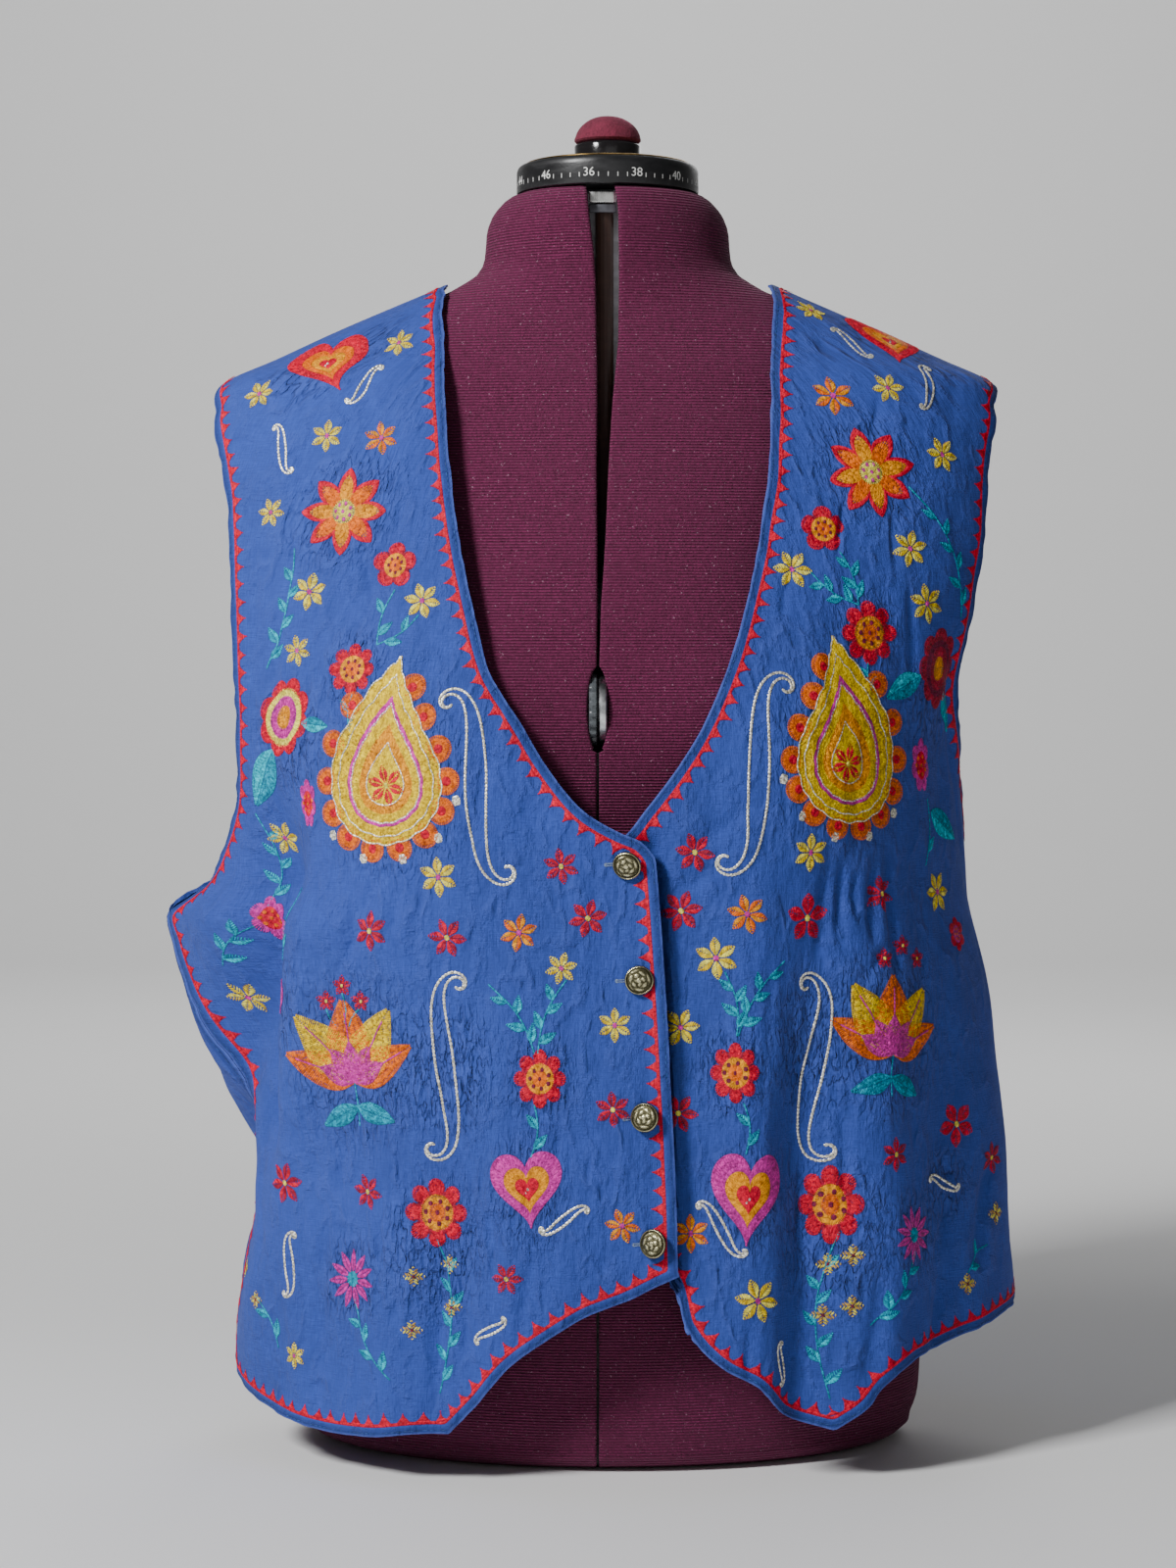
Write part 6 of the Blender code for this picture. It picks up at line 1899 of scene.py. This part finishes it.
class StitchingSettings(bpy.types.PropertyGroup):
    """Sizes of the border and the topstitching."""

    border_inset: length_prop("Border inset", "From the cloth's edge to the satin line's middle", 0.0058, 0.003, 0.009)
    border_line: length_prop("Border line", "Width of the satin line", 0.0016, 0.001, 0.004)
    tooth_base: length_prop("Tooth base", "Width of a tooth at the satin line", 0.0064, 0.003, 0.009)
    tooth_height: length_prop("Tooth height", "How far a tooth points into the cloth", 0.0052, 0.002, 0.008)
    tooth_pitch: length_prop("Tooth pitch", "From one tooth to the next", 0.0095, 0.005, 0.012)
    topstitch_inset: length_prop("Topstitch inset", "From the cloth's edge to its topstitching", 0.0018, 0.001, 0.004)
    topstitch_length: length_prop("Topstitch length", "Length of one straight stitch", 0.0024, 0.0012, 0.005)


class ThreadSettings(bpy.types.PropertyGroup):
    """Colours of the embroidery threads."""

    red: thread_colour("Red", (0.780, 0.000, 0.036))
    dark_red: thread_colour("Dark red", (0.440, 0.008, 0.044))
    orange: thread_colour("Orange", (1.000, 0.190, 0.000))
    amber: thread_colour("Amber", (1.000, 0.380, 0.000))
    yellow: thread_colour("Yellow", (1.000, 0.880, 0.110))
    ochre: thread_colour("Ochre", (0.640, 0.400, 0.070))
    magenta: thread_colour("Magenta", (0.720, 0.035, 0.420))
    teal: thread_colour("Teal", (0.000, 0.380, 0.560))
    pale_teal: thread_colour("Pale teal", (0.000, 0.600, 0.780))
    maroon: thread_colour("Maroon", (0.230, 0.010, 0.060))
    blue: thread_colour("Blue", (0.040, 0.120, 0.400))
    silver: thread_colour("Silver", (0.700, 0.670, 0.520))
    pale_blue: thread_colour("Pale blue", (0.300, 0.420, 0.620))
    pale_gold: thread_colour("Pale gold", (0.980, 0.700, 0.010))
    gold: thread_colour("Gold", (1.000, 0.680, 0.000))


class FormSettings(bpy.types.PropertyGroup):
    """Finish of the dress form."""

    knit_colour: colour_prop("Knit", "Colour of the knit cover", (0.160, 0.019, 0.072))
    velvet_colour: colour_prop("Velvet", "Colour of the neck knob's velvet", (0.135, 0.014, 0.034))
    rib_pitch: length_prop("Rib pitch", "From one rib of the knit to the next", 0.0016, 0.0008, 0.004)


class StageSettings(bpy.types.PropertyGroup):
    """Floor and light."""

    brightness: factor_prop("Brightness", "Strength of all the light", 1.0, 0.2, 3.0)
    backdrop_colour: colour_prop("Backdrop", "Colour of the floor and the backdrop", (0.80, 0.80, 0.80))


# Operators.

FRONT_MOTIFS = {
    1: (
        STARS_RIGHT, FOURS_RIGHT, SMALL_RIGHT, FLOWERS_RIGHT, HEARTS_RIGHT, SPRIGS_RIGHT, LEAVES_RIGHT, TENDRILS_RIGHT,
        LARGE_RIGHT,
    ),
    -1: (
        STARS_LEFT, FOURS_LEFT, SMALL_LEFT, FLOWERS_LEFT, HEARTS_LEFT, SPRIGS_LEFT, LEAVES_LEFT, TENDRILS_LEFT,
        LARGE_LEFT,
    ),
}
SHOULDER_EDGE = (88.6, 0.585)  # azimuth and height past which stitches would cross the shoulder seam


def inside_shoulder(stitches):
    """The stitches that don't run past the shoulder seam."""
    azimuth, height = SHOULDER_EDGE
    beyond = (np.abs(stitches[:, 0]) > azimuth) | (np.abs(stitches[:, 2]) > azimuth)
    return stitches[~(beyond & (stitches[:, 1] > height))]


def dressed_front(name, node, side, seed, extra):
    """A front of cloth with its border, topstitching, buttonholes and embroidery."""
    piece, outline = cloth_panel(name, node, side, settings("cloth").fineness)
    border_stitches = np.concatenate([border(outline, side, seed), topstitching(outline, side)] + extra)
    trimmed = sewn(name + "_border", side, inside_shoulder(border_stitches))
    flowers = sewn(name + "_embroidery", side, inside_shoulder(front_motifs(*FRONT_MOTIFS[side])))
    return piece, [trimmed, flowers]


class FOLK_VEST_OT_form(bpy.types.Operator):
    """Makes the knit-covered body of the dress form, split down its front"""

    bl_idname = "folk_vest.form"
    bl_label = "Dress form"

    def execute(self, context):
        form_torso()
        return {"FINISHED"}


class FOLK_VEST_OT_right_front(bpy.types.Operator):
    """Makes the right front, which laps over the left, with its embroidery and buttonholes"""

    bl_idname = "folk_vest.right_front"
    bl_label = "Right front"

    def execute(self, context):
        holes = [buttonhole(distance, height) for distance, height in BUTTONS]
        piece, sewing = dressed_front("right_front", "front_right", 1, 11, holes)
        return {"FINISHED"}


class FOLK_VEST_OT_left_front(bpy.types.Operator):
    """Makes the left front, which lies under the right along the closing, with its embroidery"""

    bl_idname = "folk_vest.left_front"
    bl_label = "Left front"

    def execute(self, context):
        piece, sewing = dressed_front("left_front", "front_left", -1, 23, [])
        return {"FINISHED"}


class FOLK_VEST_OT_back(bpy.types.Operator):
    """Makes the plain back with its topstitched edges"""

    bl_idname = "folk_vest.back"
    bl_label = "Back"

    def execute(self, context):
        piece, outline = cloth_panel("plain_back", "back", 0, max(2, settings("cloth").fineness - 1))
        sewing = sewn("plain_back_topstitching", 0, topstitching(outline, 0))
        return {"FINISHED"}


class FOLK_VEST_OT_buttons(bpy.types.Operator):
    """Makes the four pressed brass buttons"""

    bl_idname = "folk_vest.buttons"
    bl_label = "Buttons"

    def execute(self, context):
        for number, (distance, height) in enumerate(BUTTONS, start=1):
            button(number, distance, height)
        return {"FINISHED"}


class FOLK_VEST_OT_fittings(bpy.types.Operator):
    """Finishes the form's dial, knob, wheel, post and bracket"""

    bl_idname = "folk_vest.fittings"
    bl_label = "Form fittings"

    def execute(self, context):
        for make in (neck_dial, knob_cushion, dial_marks, thumb_wheel, steel_bracket, post_finish):
            make()
        return {"FINISHED"}


class FOLK_VEST_OT_stage(bpy.types.Operator):
    """Sets the floor, the backdrop, the lights and the camera"""

    bl_idname = "folk_vest.stage"
    bl_label = "Stage"

    def execute(self, context):
        floor_and_backdrop()
        lights_and_camera()
        return {"FINISHED"}


class FOLK_VEST_PT_panel(bpy.types.Panel):
    """Lists the pieces and their settings."""

    bl_idname = "FOLK_VEST_PT_panel"
    bl_label = "Folk Vest"
    bl_space_type = "VIEW_3D"
    bl_region_type = "UI"
    bl_category = "Folk Vest"

    def draw(self, context):
        for group in GROUPS:
            box = self.layout.box()
            box.label(text=group.replace("_", " ").capitalize())
            held = settings(group)
            for key in held.__annotations__:
                box.prop(held, key)
        for operator in OPERATORS:
            self.layout.operator(operator.bl_idname)


GROUPS = {
    "cloth": ClothSettings,
    "stitching": StitchingSettings,
    "threads": ThreadSettings,
    "form": FormSettings,
    "stage": StageSettings,
}
OPERATORS = (
    FOLK_VEST_OT_form,
    FOLK_VEST_OT_right_front,
    FOLK_VEST_OT_left_front,
    FOLK_VEST_OT_back,
    FOLK_VEST_OT_buttons,
    FOLK_VEST_OT_fittings,
    FOLK_VEST_OT_stage,
)


def register():
    for name, group in GROUPS.items():
        bpy.utils.register_class(group)
        setattr(bpy.types.Scene, "folk_vest_" + name, PointerProperty(type=group))
    for made in OPERATORS + (FOLK_VEST_PT_panel,):
        bpy.utils.register_class(made)


def unregister():
    for made in (FOLK_VEST_PT_panel,) + OPERATORS[::-1]:
        bpy.utils.unregister_class(made)
    for name, group in GROUPS.items():
        delattr(bpy.types.Scene, "folk_vest_" + name)
        bpy.utils.unregister_class(group)


def main():
    register()
    for operator in OPERATORS:
        family, name = operator.bl_idname.split(".")
        getattr(getattr(bpy.ops, family), name)()


if __name__ == "__main__":
    main()
